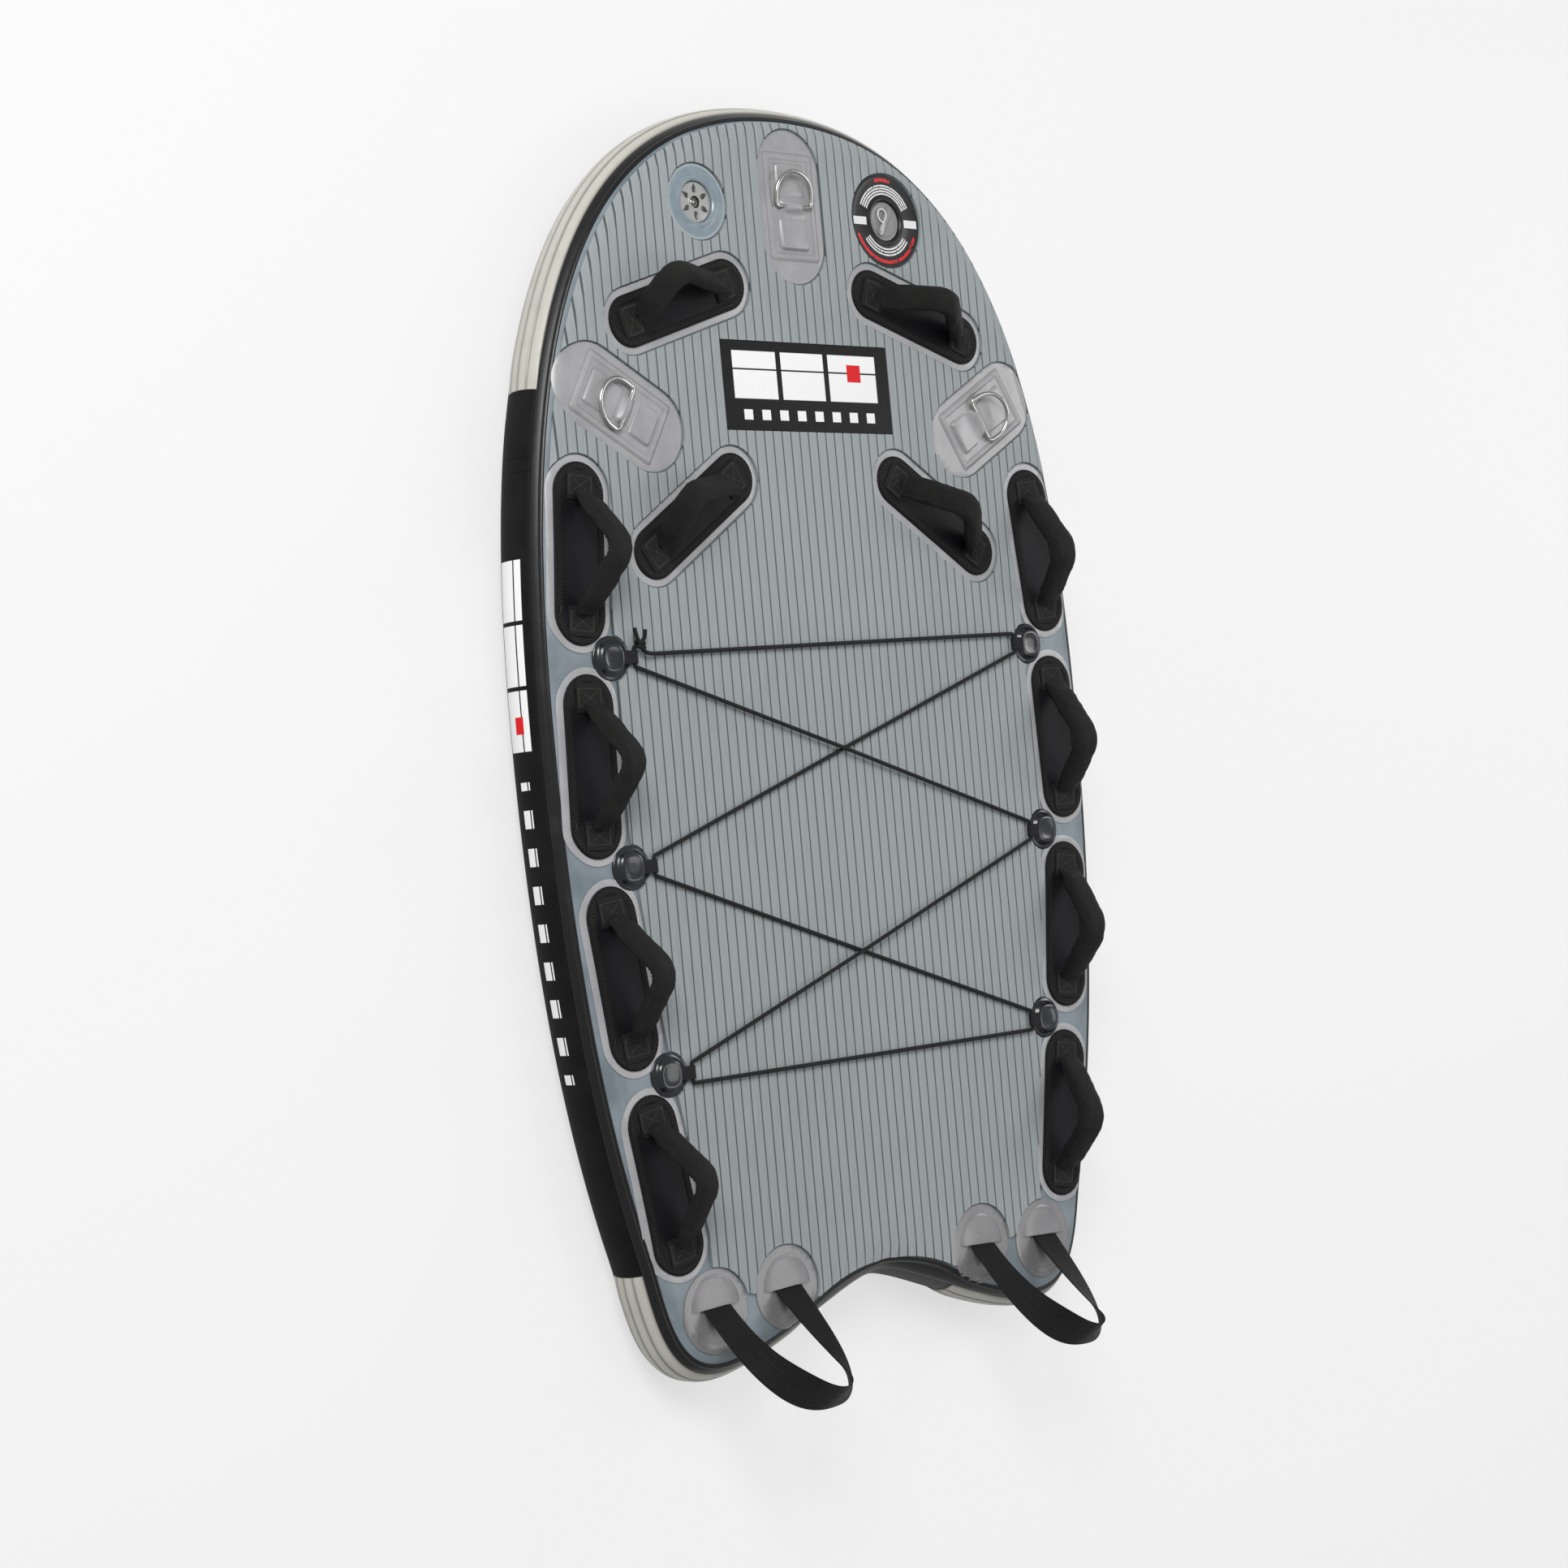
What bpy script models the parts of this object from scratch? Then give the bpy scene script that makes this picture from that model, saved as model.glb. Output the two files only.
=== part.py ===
"""An inflatable watercraft rescue sled lying flat on its bottom: drop-stitch hull, ribbed deck pad, grab
handles, tow rings, laced elastic cord, valves and tail straps. Lengths in metres, +Z up, +Y to the nose,
+X to the right seen from above. The origin lies on the ground under the middle of the whole sled."""

import math

import bmesh
import bpy
from mathutils import Matrix, Vector

MM = 0.001

# Hull: a flat slab with a half-elliptic wall, its widest line drawn by one curve from nose to notch.
HULL_DEEP = 101.6 * MM
NOSE = (0.0, 1105.5 * MM)
WIDEST = (553.6 * MM, 196.3 * MM)
HIP = (463.1 * MM, -549.2 * MM)
LOBE = (325.1 * MM, -728.9 * MM)
NOTCH = (0.0, -635.6 * MM)
HIP_HEADING = math.radians(-106.5)
NOSE_PULL = 495.0 * MM
SHOULDER_PULL = 397.7 * MM
WAIST_PULL = 395.8 * MM
HIP_PULL_IN = 143.1 * MM
HIP_PULL_OUT = 67.1 * MM
LOBE_PULL_IN = 111.0 * MM
LOBE_PULL_OUT = 99.5 * MM
NOTCH_PULL = 63.3 * MM
CURVE_STEPS = 60
TURN_WEIGHT = 250 * MM
WALL_BULGE = 42.7 * MM
SKIN = 1.6 * MM
GAP = 0.3 * MM
CUTTER_DOWN = 40 * MM
CUTTER_UP = 30 * MM
LIP_ANGLE = math.radians(70)
SEAM_ANGLE = math.radians(50)
MID_ANGLE = math.radians(25)

# Rail tape, side bands and strakes: welded strips round the wall.
TAPE_TOP_ANGLE = math.radians(61)
TAPE_LOW_ANGLE = math.radians(38)
TAPE_THICK = 1.2 * MM
BAND_THICK = 1.7 * MM
BAND_FRONT_Y = 675 * MM
BAND_BACK_Y = -565 * MM
STRAKE_END_X = 152 * MM
STRAKE_THICK = 3.6 * MM
STRAKE_RIBS = 4
STRAKE_RIB_HIGH = 1.8 * MM
NOSE_STEPS = 10
SIDE_STEPS = 10
LOBE_STEPS = 9
NOTCH_STEPS = 3

# Drop-stitch core: two woven sheets held together by bundles of thread.
CORE_INSET = 8 * MM
CORE_SHEET = 1.0 * MM
BUNDLE = 6 * MM
BUNDLE_PITCH_X = 260 * MM
BUNDLE_PITCH_Y = 430 * MM
BUNDLE_FIRST_Y = -460 * MM
BUNDLE_ROWS = 4

# Deck pad.
PAD_THICK = 4.5 * MM
PAD_EDGE = 31 * MM
PAD_CUT = 2.0 * MM
BADGE_HALF_WIDE = 169 * MM
BADGE_Y = (617.5 * MM, 749 * MM)

# Handles, by the two end centres of the black pad on the right-hand side.
SIDE_HANDLES = (
    ((455.3, 523.9), (471.1, 354.3)),
    ((471.2, 228.5), (475.8, 59.0)),
    ((464.0, -65.6), (443.6, -237.0)),
    ((424.3, -358.8), (395.0, -527.8)),
)
FRONT_HANDLES = (
    ((334.5, 768.0), (148.0, 829.5)),
    ((326.0, 439.0), (166.0, 546.0)),
)
SIDE_PAD_RADIUS = 43.5 * MM
FRONT_PAD_RADIUS = 38.0 * MM
PATCH_BORDER = 10 * MM
PATCH_THICK = 1.2 * MM
HANDLE_PAD_THICK = 3.0 * MM
TAB_LONG = 34 * MM
TAB_WIDE = 50 * MM
TAB_THICK = 2.6 * MM
END_ARC_STEPS = 7

# Grips: a padded sleeve bent in the middle, swinging about a line just above its pad.
GRIP_HALF_LONG = 84 * MM
GRIP_HIGH = 65 * MM
GRIP_WIDE = 40 * MM
GRIP_THICK = 24 * MM
GRIP_AXIS_HIGH = 7.0 * MM
GRIP_BEND = 26 * MM
GRIP_SWING = math.radians(55)
GRIP_STATIONS = 11
GRIP_SIDES = 8
SIDE_LEAN = math.radians(12)
SIDE_LEFT_SHIFT = -3 * MM
SIDE_RIGHT_SHIFT = 8 * MM
UPPER_LEFT_LEAN = math.radians(42)
UPPER_LEFT_SHIFT = -34 * MM
UPPER_RIGHT_LEAN = math.radians(9)
UPPER_RIGHT_SHIFT = 8 * MM
LOWER_LEFT_LEAN = math.radians(42)
LOWER_LEFT_SHIFT = -29 * MM
LOWER_RIGHT_LEAN = math.radians(1)
LOWER_RIGHT_SHIFT = 6 * MM

# Tow points: a stadium patch, a raised overlay and a saddle that holds the ring's bar.
TOW_RADIUS = 61 * MM
TOW_ARC_STEPS = 9
TOW_HALF_SPAN = 54 * MM
TOW_NOSE = (0.0, 953 * MM)
TOW_SIDE = (366.5 * MM, 645 * MM)
TOW_SIDE_SPAN = 60 * MM
TOW_SIDE_TURN = math.radians(30)
OVERLAY_WIDE = 85 * MM
OVERLAY_LONG = 148 * MM
OVERLAY_THICK = 1.4 * MM
SADDLE_WIDE = 46 * MM
SADDLE_LONG = 26 * MM
SADDLE_WALL = 1.5 * MM
RING_WIRE = 6.2 * MM
RING_WIDE = 77 * MM
RING_LEG = 16.5 * MM
RING_CORNER = 7 * MM
RING_AXIS_HIGH = 4.4 * MM
RING_PLAY = 0.4 * MM
RING_SIDES = 6
SIDE_BAR_SHIFT = -8 * MM
NOSE_RING_REST = math.radians(10)
LEFT_RING_REST = math.radians(6)
RIGHT_RING_REST = math.radians(18)

# Cord anchors and the elastic cord.
ANCHORS = ((424.8, 292.5), (422.5, 0.0), (387.3, -292.4))
ANCHOR_RADIUS = 31.5 * MM
ANCHOR_BASE = 3.5 * MM
ANCHOR_HIGH = 11.0 * MM
ANCHOR_CAP_RADIUS = 17 * MM
ANCHOR_REACH = 37 * MM
ANCHOR_LOOP_WIDE = 19 * MM
ANCHOR_LOOP_WALL = 1.6 * MM
CORD = 6.0 * MM
CORD_PLAY = 0.35 * MM
CORD_HIGH = 10.4 * MM
CORD_BEND = 5.5 * MM
# The two tails that tie it, in millimetres from the first eye: the first passes over the last.
CORD_FIRST_TAIL = ((-3, 40, 9), (0, 29, 8.5), (5, 18, 8), (10, 10, 8), (16, 6, 6.5), (28, 4, 3), (50, 4, 0))
CORD_LAST_TAIL = ((1, 13.5, 0.2), (6, 17, 0.8), (13, 20, 1.5), (19, 27, 3), (20, 38, 5))
ANCHOR_SIDES = 16

# Tail straps and the discs they are welded into.
DISC_RADIUS = 59.8 * MM
DISC_OUTER = (338.3 * MM, -629.9 * MM)
DISC_INNER = (201.3 * MM, -617.7 * MM)
DISC_THICK = 1.3 * MM
SLOT_SHIFT_OUTER = 5.0 * MM
SLOT_SHIFT_INNER = -1.0 * MM
POCKET_RADIUS = 46 * MM
POCKET_BACK = 2.0 * MM
POCKET_FRONT = 6.4 * MM
STRAP_WIDE = 50 * MM
STRAP_THICK = 2.0 * MM
STRAP_AXIS_HIGH = 3.4 * MM
STRAP_ROOT_RADIUS = 1.5 * MM
STRAP_REACH = 186 * MM
STRAP_BOW_LEFT = -8 * MM
STRAP_BOW_RIGHT = 54 * MM
STRAP_EVEN_TURN = 0.35
STRAP_REST = math.radians(41)
STRAP_STATIONS = 17
DISC_SIDES = 24

# Valves.
RELIEF = (-187 * MM, 948.5 * MM)
RELIEF_FLANGE = 55.5 * MM
INFLATE = (196 * MM, 945.5 * MM)
INFLATE_FLANGE = 71.6 * MM
VALVE_FLANGE_THICK = 1.4 * MM
VALVE_THROAT = 33 * MM
VALVE_TUBE_WALL = 2.5 * MM
VALVE_DEEP = 30 * MM
VALVE_FLOOR_DEEP = 5.0 * MM
VALVE_FLOOR_THICK = 3.0 * MM
VALVE_RIM_HIGH = 2.0 * MM
STAR_SLOTS = 6
STAR_INNER = 12 * MM
STAR_OUTER = 27 * MM
STAR_WIDE = 4.5 * MM
POPPET_BORE = 8.4 * MM
POPPET_RADIUS = 8.0 * MM
POPPET_HEAD_RADIUS = 11.0 * MM
POPPET_HEAD_THICK = 3.0 * MM
POPPET_RISE = 2.0 * MM
CAP_THICK = 4.0 * MM
CAP_BAR_LONG = 50 * MM
CAP_BAR_WIDE = 11 * MM
CAP_BAR_HIGH = 2.7 * MM
CAP_BAR_TURN = math.radians(60)
VALVE_SIDES = 24

for old in list(bpy.data.objects):
    bpy.data.objects.remove(old, do_unlink=True)

scene_root = bpy.context.scene.collection
datum = bpy.data.objects.new("deck_datum", None)
scene_root.objects.link(datum)


def paint(name, colour, roughness, metallic=0.0):
    material = bpy.data.materials.new(name)
    material.use_nodes = True
    shader = material.node_tree.nodes["Principled BSDF"]
    shader.inputs["Base Color"].default_value = (*colour, 1.0)
    shader.inputs["Roughness"].default_value = roughness
    shader.inputs["Metallic"].default_value = metallic
    return material


DECK_PVC = paint("deck_pvc", (0.23, 0.30, 0.33), 0.45)
WALL_PVC = paint("wall_pvc", (0.04, 0.04, 0.042), 0.5)
TAPE_PVC = paint("tape_pvc", (0.035, 0.035, 0.037), 0.4)
BAND_PVC = paint("band_pvc", (0.028, 0.028, 0.028), 0.42)
STRAKE_PVC = paint("strake_pvc", (0.72, 0.70, 0.63), 0.45)
CORE_CLOTH = paint("core_cloth", (0.8, 0.8, 0.78), 0.9)
PAD_FOAM = paint("pad_foam", (0.27, 0.32, 0.33), 0.75)
BADGE_FOAM = paint("badge_foam", (0.01, 0.01, 0.01), 0.6)
PATCH_PVC = paint("patch_pvc", (0.36, 0.35, 0.35), 0.4)
HANDLE_CLOTH = paint("handle_cloth", (0.012, 0.012, 0.016), 0.8)
SLEEVE_CLOTH = paint("sleeve_cloth", (0.012, 0.012, 0.013), 0.85)
STEEL = paint("ring_steel", (0.62, 0.61, 0.60), 0.2, 1.0)
ANCHOR_RUBBER = paint("anchor_rubber", (0.012, 0.012, 0.012), 0.25)
CORD_CLOTH = paint("cord_cloth", (0.01, 0.01, 0.01), 0.7)
STRAP_WEB = paint("strap_web", (0.011, 0.011, 0.012), 0.8)
RELIEF_PLASTIC = paint("relief_plastic", (0.40, 0.47, 0.50), 0.3)
POPPET_PLASTIC = paint("poppet_plastic", (0.62, 0.63, 0.62), 0.35)
LABEL_PLASTIC = paint("label_plastic", (0.02, 0.02, 0.02), 0.4)
CAP_PLASTIC = paint("cap_plastic", (0.40, 0.41, 0.42), 0.35)


def add(name, bm, material, place=None, helper=False):
    """A named object from this bmesh, standing on the datum, its faces turned outward."""
    bmesh.ops.recalc_face_normals(bm, faces=bm.faces)
    mesh = bpy.data.meshes.new(name)
    bm.to_mesh(mesh)
    bm.free()
    mesh.polygons.foreach_set("use_smooth", [True] * len(mesh.polygons))
    mesh.set_sharp_from_angle(angle=math.radians(35))
    mesh.materials.append(material)
    return add_mesh(name, mesh, place, helper)


def add_mesh(name, mesh, place=None, helper=False):
    obj = bpy.data.objects.new(name, mesh)
    obj.parent = datum
    obj.matrix_local = place or Matrix()
    scene_root.objects.link(obj)
    if helper:
        obj.hide_render = True
        obj.display_type = "WIRE"
    return obj


def combine(obj, tool, operation):
    modifier = obj.modifiers.new(operation.lower(), "BOOLEAN")
    modifier.operation = operation
    modifier.solver = "EXACT"
    modifier.object = tool


def settled(obj):
    """The object's mesh with its modifiers worked in, for copies that share it."""
    bpy.context.view_layer.update()
    mesh = bpy.data.meshes.new_from_object(obj.evaluated_get(bpy.context.evaluated_depsgraph_get()))
    mesh.name = obj.name
    return mesh


def strip_faces(bm, loops, closed_across, closed_along):
    """Quads between neighbouring loops of vertices."""
    last = len(loops) if closed_along else len(loops) - 1
    for i in range(last):
        a, b = loops[i], loops[(i + 1) % len(loops)]
        count = len(a) if closed_across else len(a) - 1
        for j in range(count):
            k = (j + 1) % len(a)
            bm.faces.new((a[j], a[k], b[k], b[j]))


def prism(name, corners, low, high, material, helper=False):
    """An upright block over this outline. The height of each corner's top may be a function of its place."""
    bm = bmesh.new()
    lower = [bm.verts.new((x, y, low)) for x, y in corners]
    upper = [bm.verts.new((x, y, high(x, y) if callable(high) else high)) for x, y in corners]
    bm.faces.new(lower)
    bm.faces.new(upper)
    strip_faces(bm, [lower, upper], True, False)
    return add(name, bm, material, helper=helper)


def prisms(name, outlines, low, high, material):
    """Several separate upright blocks as one helper."""
    bm = bmesh.new()
    for corners in outlines:
        lower = [bm.verts.new((x, y, low)) for x, y in corners]
        upper = [bm.verts.new((x, y, high)) for x, y in corners]
        bm.faces.new(lower)
        bm.faces.new(upper)
        strip_faces(bm, [lower, upper], True, False)
    return add(name, bm, material, helper=True)


def turned(profile, sides, centre, bm=None):
    """A body of revolution about an upright line, from (radius, height) pairs that start and end on the line
    or close on themselves."""
    bm = bm or bmesh.new()
    on_axis = profile[0][0] == 0.0
    rings = []
    for radius, height in profile:
        if radius == 0.0:
            rings.append([bm.verts.new((centre[0], centre[1], height))])
            continue
        ring = []
        for k in range(sides):
            angle = 2 * math.pi * k / sides
            x = centre[0] + radius * math.cos(angle)
            y = centre[1] + radius * math.sin(angle)
            ring.append(bm.verts.new((x, y, height)))
        rings.append(ring)
    pairs = list(zip(rings, rings[1:])) if on_axis else list(zip(rings, rings[1:] + rings[:1]))
    for a, b in pairs:
        for k in range(sides):
            m = (k + 1) % sides
            if len(a) == 1:
                bm.faces.new((a[0], b[k], b[m]))
            elif len(b) == 1:
                bm.faces.new((a[k], a[m], b[0]))
            else:
                bm.faces.new((a[k], a[m], b[m], b[k]))
    return bm


def rod(radius, half_long):
    """A plain round bar along Z, for cutting bores."""
    profile = [(0.0, -half_long), (radius, -half_long), (radius, half_long), (0.0, half_long)]
    return turned(profile, 12, (0.0, 0.0))


def circle(centre, radius, sides):
    turn = 2 * math.pi / sides
    angles = [k * turn for k in range(sides)]
    return [(centre[0] + radius * math.cos(a), centre[1] + radius * math.sin(a)) for a in angles]


def stadium(first, second, radius, steps):
    """The outline round a line between two end centres."""
    heading = math.atan2(second[1] - first[1], second[0] - first[0])
    corners = []
    for centre, start in ((second, heading - math.pi / 2), (first, heading + math.pi / 2)):
        for k in range(steps + 1):
            angle = start + math.pi * k / steps
            corners.append((centre[0] + radius * math.cos(angle), centre[1] + radius * math.sin(angle)))
    return corners


def box_outline(centre, along, across, heading):
    ux, uy = math.cos(heading), math.sin(heading)
    corners = []
    for a, b in ((-1, -1), (1, -1), (1, 1), (-1, 1)):
        du, dv = a * along / 2, b * across / 2
        corners.append((centre[0] + du * ux - dv * uy, centre[1] + du * uy + dv * ux))
    return corners


# The hull's widest line.
def curve_points(a, b, c, d):
    points = []
    for k in range(CURVE_STEPS):
        t = k / CURVE_STEPS
        s = 1 - t
        place = s**3 * a + 3 * s * s * t * b + 3 * s * t * t * c + t**3 * d
        slope = 3 * s * s * (b - a) + 6 * s * t * (c - b) + 3 * t * t * (d - c)
        points.append((place, slope.normalized()))
    return points


def right_half():
    """Points and headings down the right-hand side, from the nose to the middle of the notch."""
    nose, widest, hip, lobe, notch = (Vector(p) for p in (NOSE, WIDEST, HIP, LOBE, NOTCH))
    hip_way = Vector((math.cos(HIP_HEADING), math.sin(HIP_HEADING)))
    across = Vector((1.0, 0.0))
    down = Vector((0.0, -1.0))
    points = curve_points(nose, nose + NOSE_PULL * across, widest - SHOULDER_PULL * down, widest)
    points += curve_points(widest, widest + WAIST_PULL * down, hip - HIP_PULL_IN * hip_way, hip)
    points += curve_points(hip, hip + HIP_PULL_OUT * hip_way, lobe + LOBE_PULL_IN * across, lobe)
    points += curve_points(lobe, lobe - LOBE_PULL_OUT * across, notch + NOTCH_PULL * across, notch)
    points.append((notch, -across))
    return points


HALF = right_half()


def at_distance(marks, value, index_from=0):
    for i in range(index_from, len(marks) - 1):
        if marks[i] <= value <= marks[i + 1]:
            share = (value - marks[i]) / max(marks[i + 1] - marks[i], 1e-12)
            (p, a), (q, b) = HALF[i], HALF[i + 1]
            return p.lerp(q, share), a.lerp(b, share).normalized()
    return HALF[-1]


def hull_stations():
    """Places round the hull with outward headings, closer together where it turns, one at each end."""
    marks = [0.0]
    for (p, a), (q, b) in zip(HALF, HALF[1:]):
        marks.append(marks[-1] + (q - p).length + TURN_WEIGHT * a.angle(b, 0.0))
    lobe_index = 3 * CURVE_STEPS
    ends = [marks[0]]
    for level in (BAND_FRONT_Y, BAND_BACK_Y):
        for i in range(len(HALF) - 1):
            above, below = HALF[i][0].y, HALF[i + 1][0].y
            if above >= level > below:
                ends.append(marks[i] + (marks[i + 1] - marks[i]) * (above - level) / (above - below))
                break
    for i in range(lobe_index, len(HALF) - 1):
        outer, inner = HALF[i][0].x, HALF[i + 1][0].x
        if outer >= STRAKE_END_X > inner:
            ends.append(marks[i] + (marks[i + 1] - marks[i]) * (outer - STRAKE_END_X) / (outer - inner))
            break
    ends.append(marks[-1])
    right = []
    for (low, high), steps in zip(zip(ends, ends[1:]), (NOSE_STEPS, SIDE_STEPS, LOBE_STEPS, NOTCH_STEPS)):
        for k in range(steps):
            right.append(at_distance(marks, low + (high - low) * k / steps))
    right.append(HALF[-1])
    stations = [(p, Vector((-way.y, way.x))) for p, way in right]
    left = [(Vector((-p.x, p.y)), Vector((-out.x, out.y))) for p, out in stations[-2:0:-1]]
    return stations + left


STATIONS = hull_stations()
HALF_COUNT = NOSE_STEPS + SIDE_STEPS + LOBE_STEPS + NOTCH_STEPS
AT_BAND_FRONT = NOSE_STEPS
AT_BAND_BACK = NOSE_STEPS + SIDE_STEPS
AT_STRAKE_END = NOSE_STEPS + SIDE_STEPS + LOBE_STEPS


def placed(station, inset, height):
    point, out = station
    return (point.x - out.x * inset, point.y - out.y * inset, height)


def wall_corner(angle, out):
    """Inset and height of a corner of the faceted wall, moved outward by this much."""
    half = HULL_DEEP / 2
    nx, nz = math.cos(angle) / WALL_BULGE, math.sin(angle) / half
    size = math.hypot(nx, nz)
    inset = BAND_THICK + GAP + WALL_BULGE * (1 - math.cos(angle)) - out * nx / size
    return inset, half + half * math.sin(angle) + out * nz / size


UPPER_CORNERS = [math.pi / 2, LIP_ANGLE, SEAM_ANGLE, MID_ANGLE]
WALL_CORNERS = UPPER_CORNERS + [0.0] + [-angle for angle in reversed(UPPER_CORNERS)]


def on_wall(angle, out):
    """The same for any angle, on the flat face between two corners."""
    for high, low in zip(WALL_CORNERS, WALL_CORNERS[1:]):
        if high >= angle >= low:
            share = (high - angle) / (high - low)
            a, b = wall_corner(high, out), wall_corner(low, out)
            return a[0] + (b[0] - a[0]) * share, a[1] + (b[1] - a[1]) * share
    return wall_corner(angle, out)


def ring_body(name, section, material):
    """A strip of this closed section all the way round the hull."""
    bm = bmesh.new()
    loops = [[bm.verts.new(placed(station, *corner)) for corner in section] for station in STATIONS]
    strip_faces(bm, loops, True, True)
    return add(name, bm, material)


def shifted_end(i, step, distance):
    """The station at i, moved by a small distance towards the next one in the direction of step."""
    here, there = STATIONS[i % len(STATIONS)], STATIONS[(i + step) % len(STATIONS)]
    share = distance / (there[0] - here[0]).length
    return here[0].lerp(there[0], share), here[1].lerp(there[1], share)


def band_body(name, first, last, section, material, end_gap):
    """A strip of this closed section between two stations, its ends drawn back by the gap."""
    places = [shifted_end(first, 1, end_gap)]
    places += [STATIONS[i % len(STATIONS)] for i in range(first + 1, last)]
    places.append(shifted_end(last, -1, end_gap))
    bm = bmesh.new()
    loops = [[bm.verts.new(placed(station, *corner)) for corner in section] for station in places]
    strip_faces(bm, loops, True, False)
    bm.faces.new(loops[0])
    bm.faces.new(loops[-1])
    return add(name, bm, material)


def dish_body(name, corners, material, helper=False, every=1):
    """A sheet over the whole hull whose outline steps through these (inset, height) corners, out and back."""
    bm = bmesh.new()
    loops = [[bm.verts.new(placed(station, *corner)) for station in STATIONS[::every]] for corner in corners]
    strip_faces(bm, loops, True, False)
    bm.faces.new(loops[0])
    bm.faces.new(loops[-1])
    return add(name, bm, material, helper=helper)


def flipped(corners):
    return [(inset, HULL_DEEP - height) for inset, height in corners]


# Skins, wall and core.
SEAM_PLAY = 2 * GAP / HULL_DEEP
lip_end = SEAM_ANGLE + SEAM_PLAY
skin_corners = [wall_corner(a, 0.0) for a in (math.pi / 2, LIP_ANGLE)] + [on_wall(lip_end, 0.0)]
skin_corners += [on_wall(lip_end, -SKIN)] + [wall_corner(a, -SKIN) for a in (LIP_ANGLE, math.pi / 2)]
deck_skin = dish_body("deck_skin", skin_corners, DECK_PVC)
bottom_skin = dish_body("bottom_skin", flipped(skin_corners), WALL_PVC)

wall_end = SEAM_ANGLE - SEAM_PLAY
wall_section = [on_wall(a, 0.0) for a in (wall_end, MID_ANGLE, 0.0, -MID_ANGLE, -wall_end)]
wall_section += [on_wall(a, -SKIN) for a in (-wall_end, 0.0, wall_end)]
ring_body("side_wall", wall_section, WALL_PVC)

tape_angles = (TAPE_TOP_ANGLE, SEAM_ANGLE, TAPE_LOW_ANGLE)
tape_section = [on_wall(a, GAP + TAPE_THICK) for a in tape_angles]
tape_section += [on_wall(a, GAP) for a in reversed(tape_angles)]
ring_body("rail_tape_upper", tape_section, TAPE_PVC)
ring_body("rail_tape_lower", flipped(tape_section), TAPE_PVC)

edge_angle = TAPE_LOW_ANGLE - GAP * 1.4 / WALL_BULGE
band_angles = (edge_angle, MID_ANGLE, 0.0, -MID_ANGLE, -edge_angle)
band_inner = [on_wall(a, GAP) for a in reversed(band_angles)]
band_section = [on_wall(a, GAP + BAND_THICK) for a in band_angles] + band_inner
rib_count = 2 * STRAKE_RIBS
rib_section = []
for k in range(rib_count + 1):
    rib_angle = edge_angle - 2 * edge_angle * k / rib_count
    rib_section.append(on_wall(rib_angle, GAP + STRAKE_THICK + (STRAKE_RIB_HIGH if k % 2 else 0.0)))
rib_section += band_inner
tail_section = []
for k, rib_angle in enumerate(band_angles):
    tail_section.append(on_wall(rib_angle, GAP + STRAKE_THICK + (STRAKE_RIB_HIGH if k % 2 else 0.0)))
tail_section += band_inner
turns = len(STATIONS)
band_body("side_band_right", AT_BAND_FRONT, AT_BAND_BACK, band_section, BAND_PVC, GAP)
band_body("side_band_left", turns - AT_BAND_BACK, turns - AT_BAND_FRONT, band_section, BAND_PVC, GAP)
band_body("nose_strake", turns - AT_BAND_FRONT, turns + AT_BAND_FRONT, rib_section, STRAKE_PVC, GAP)
band_body("tail_strake_right", AT_BAND_BACK, AT_STRAKE_END, tail_section, STRAKE_PVC, GAP)
band_body("tail_strake_left", turns - AT_STRAKE_END, turns - AT_BAND_BACK, tail_section, STRAKE_PVC, GAP)

core_inset = wall_corner(math.pi / 2, 0.0)[0] + CORE_INSET
core_high = HULL_DEEP - SKIN - GAP
core_low = SKIN + GAP


def core_sheet(name, low, helper):
    return dish_body(name, [(core_inset, low), (core_inset, low + CORE_SHEET)], CORE_CLOTH, helper, 2)


core = core_sheet("drop_stitch_core", core_high - CORE_SHEET, False)
bundle_places = []
for row in range(BUNDLE_ROWS):
    for column in (-1, 0, 1):
        place = (column * BUNDLE_PITCH_X, BUNDLE_FIRST_Y + row * BUNDLE_PITCH_Y)
        bundle_places.append(box_outline(place, BUNDLE, BUNDLE, 0.0))
half_sheet = CORE_SHEET / 2
bundles = prisms("core_bundles", bundle_places, core_low + half_sheet, core_high - half_sheet, CORE_CLOTH)
combine(core, bundles, "UNION")
combine(core, core_sheet("core_floor", core_low, True), "UNION")


def deck_layer(name, low, high):
    """The space between two offsets of the deck, down to the rail tape. Draped pieces are cut from it."""
    rim = TAPE_TOP_ANGLE + GAP * 2.5 / WALL_BULGE
    corners = [wall_corner(a, high) for a in (math.pi / 2, LIP_ANGLE)] + [on_wall(rim, high)]
    corners += [on_wall(rim, low)] + [wall_corner(a, low) for a in (LIP_ANGLE, math.pi / 2)]
    return dish_body(name, corners, DECK_PVC, helper=True)


PATCH_TOP = GAP + PATCH_THICK
HANDLE_TOP = PATCH_TOP + HANDLE_PAD_THICK
patch_layer = deck_layer("patch_layer", GAP, PATCH_TOP)
cloth_layer = deck_layer("cloth_layer", GAP + PATCH_THICK / 2, HANDLE_TOP)
tab_layer = deck_layer("tab_layer", GAP + PATCH_THICK, HANDLE_TOP + TAB_THICK)
pad_layer = deck_layer("pad_layer", GAP, GAP + PAD_THICK)
disc_layer = deck_layer("disc_layer", GAP, GAP + DISC_THICK)
BELOW = HULL_DEEP - CUTTER_DOWN
ABOVE = HULL_DEEP + CUTTER_UP


def in_metres(point, side):
    return point[0] * MM * side, point[1] * MM


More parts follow.
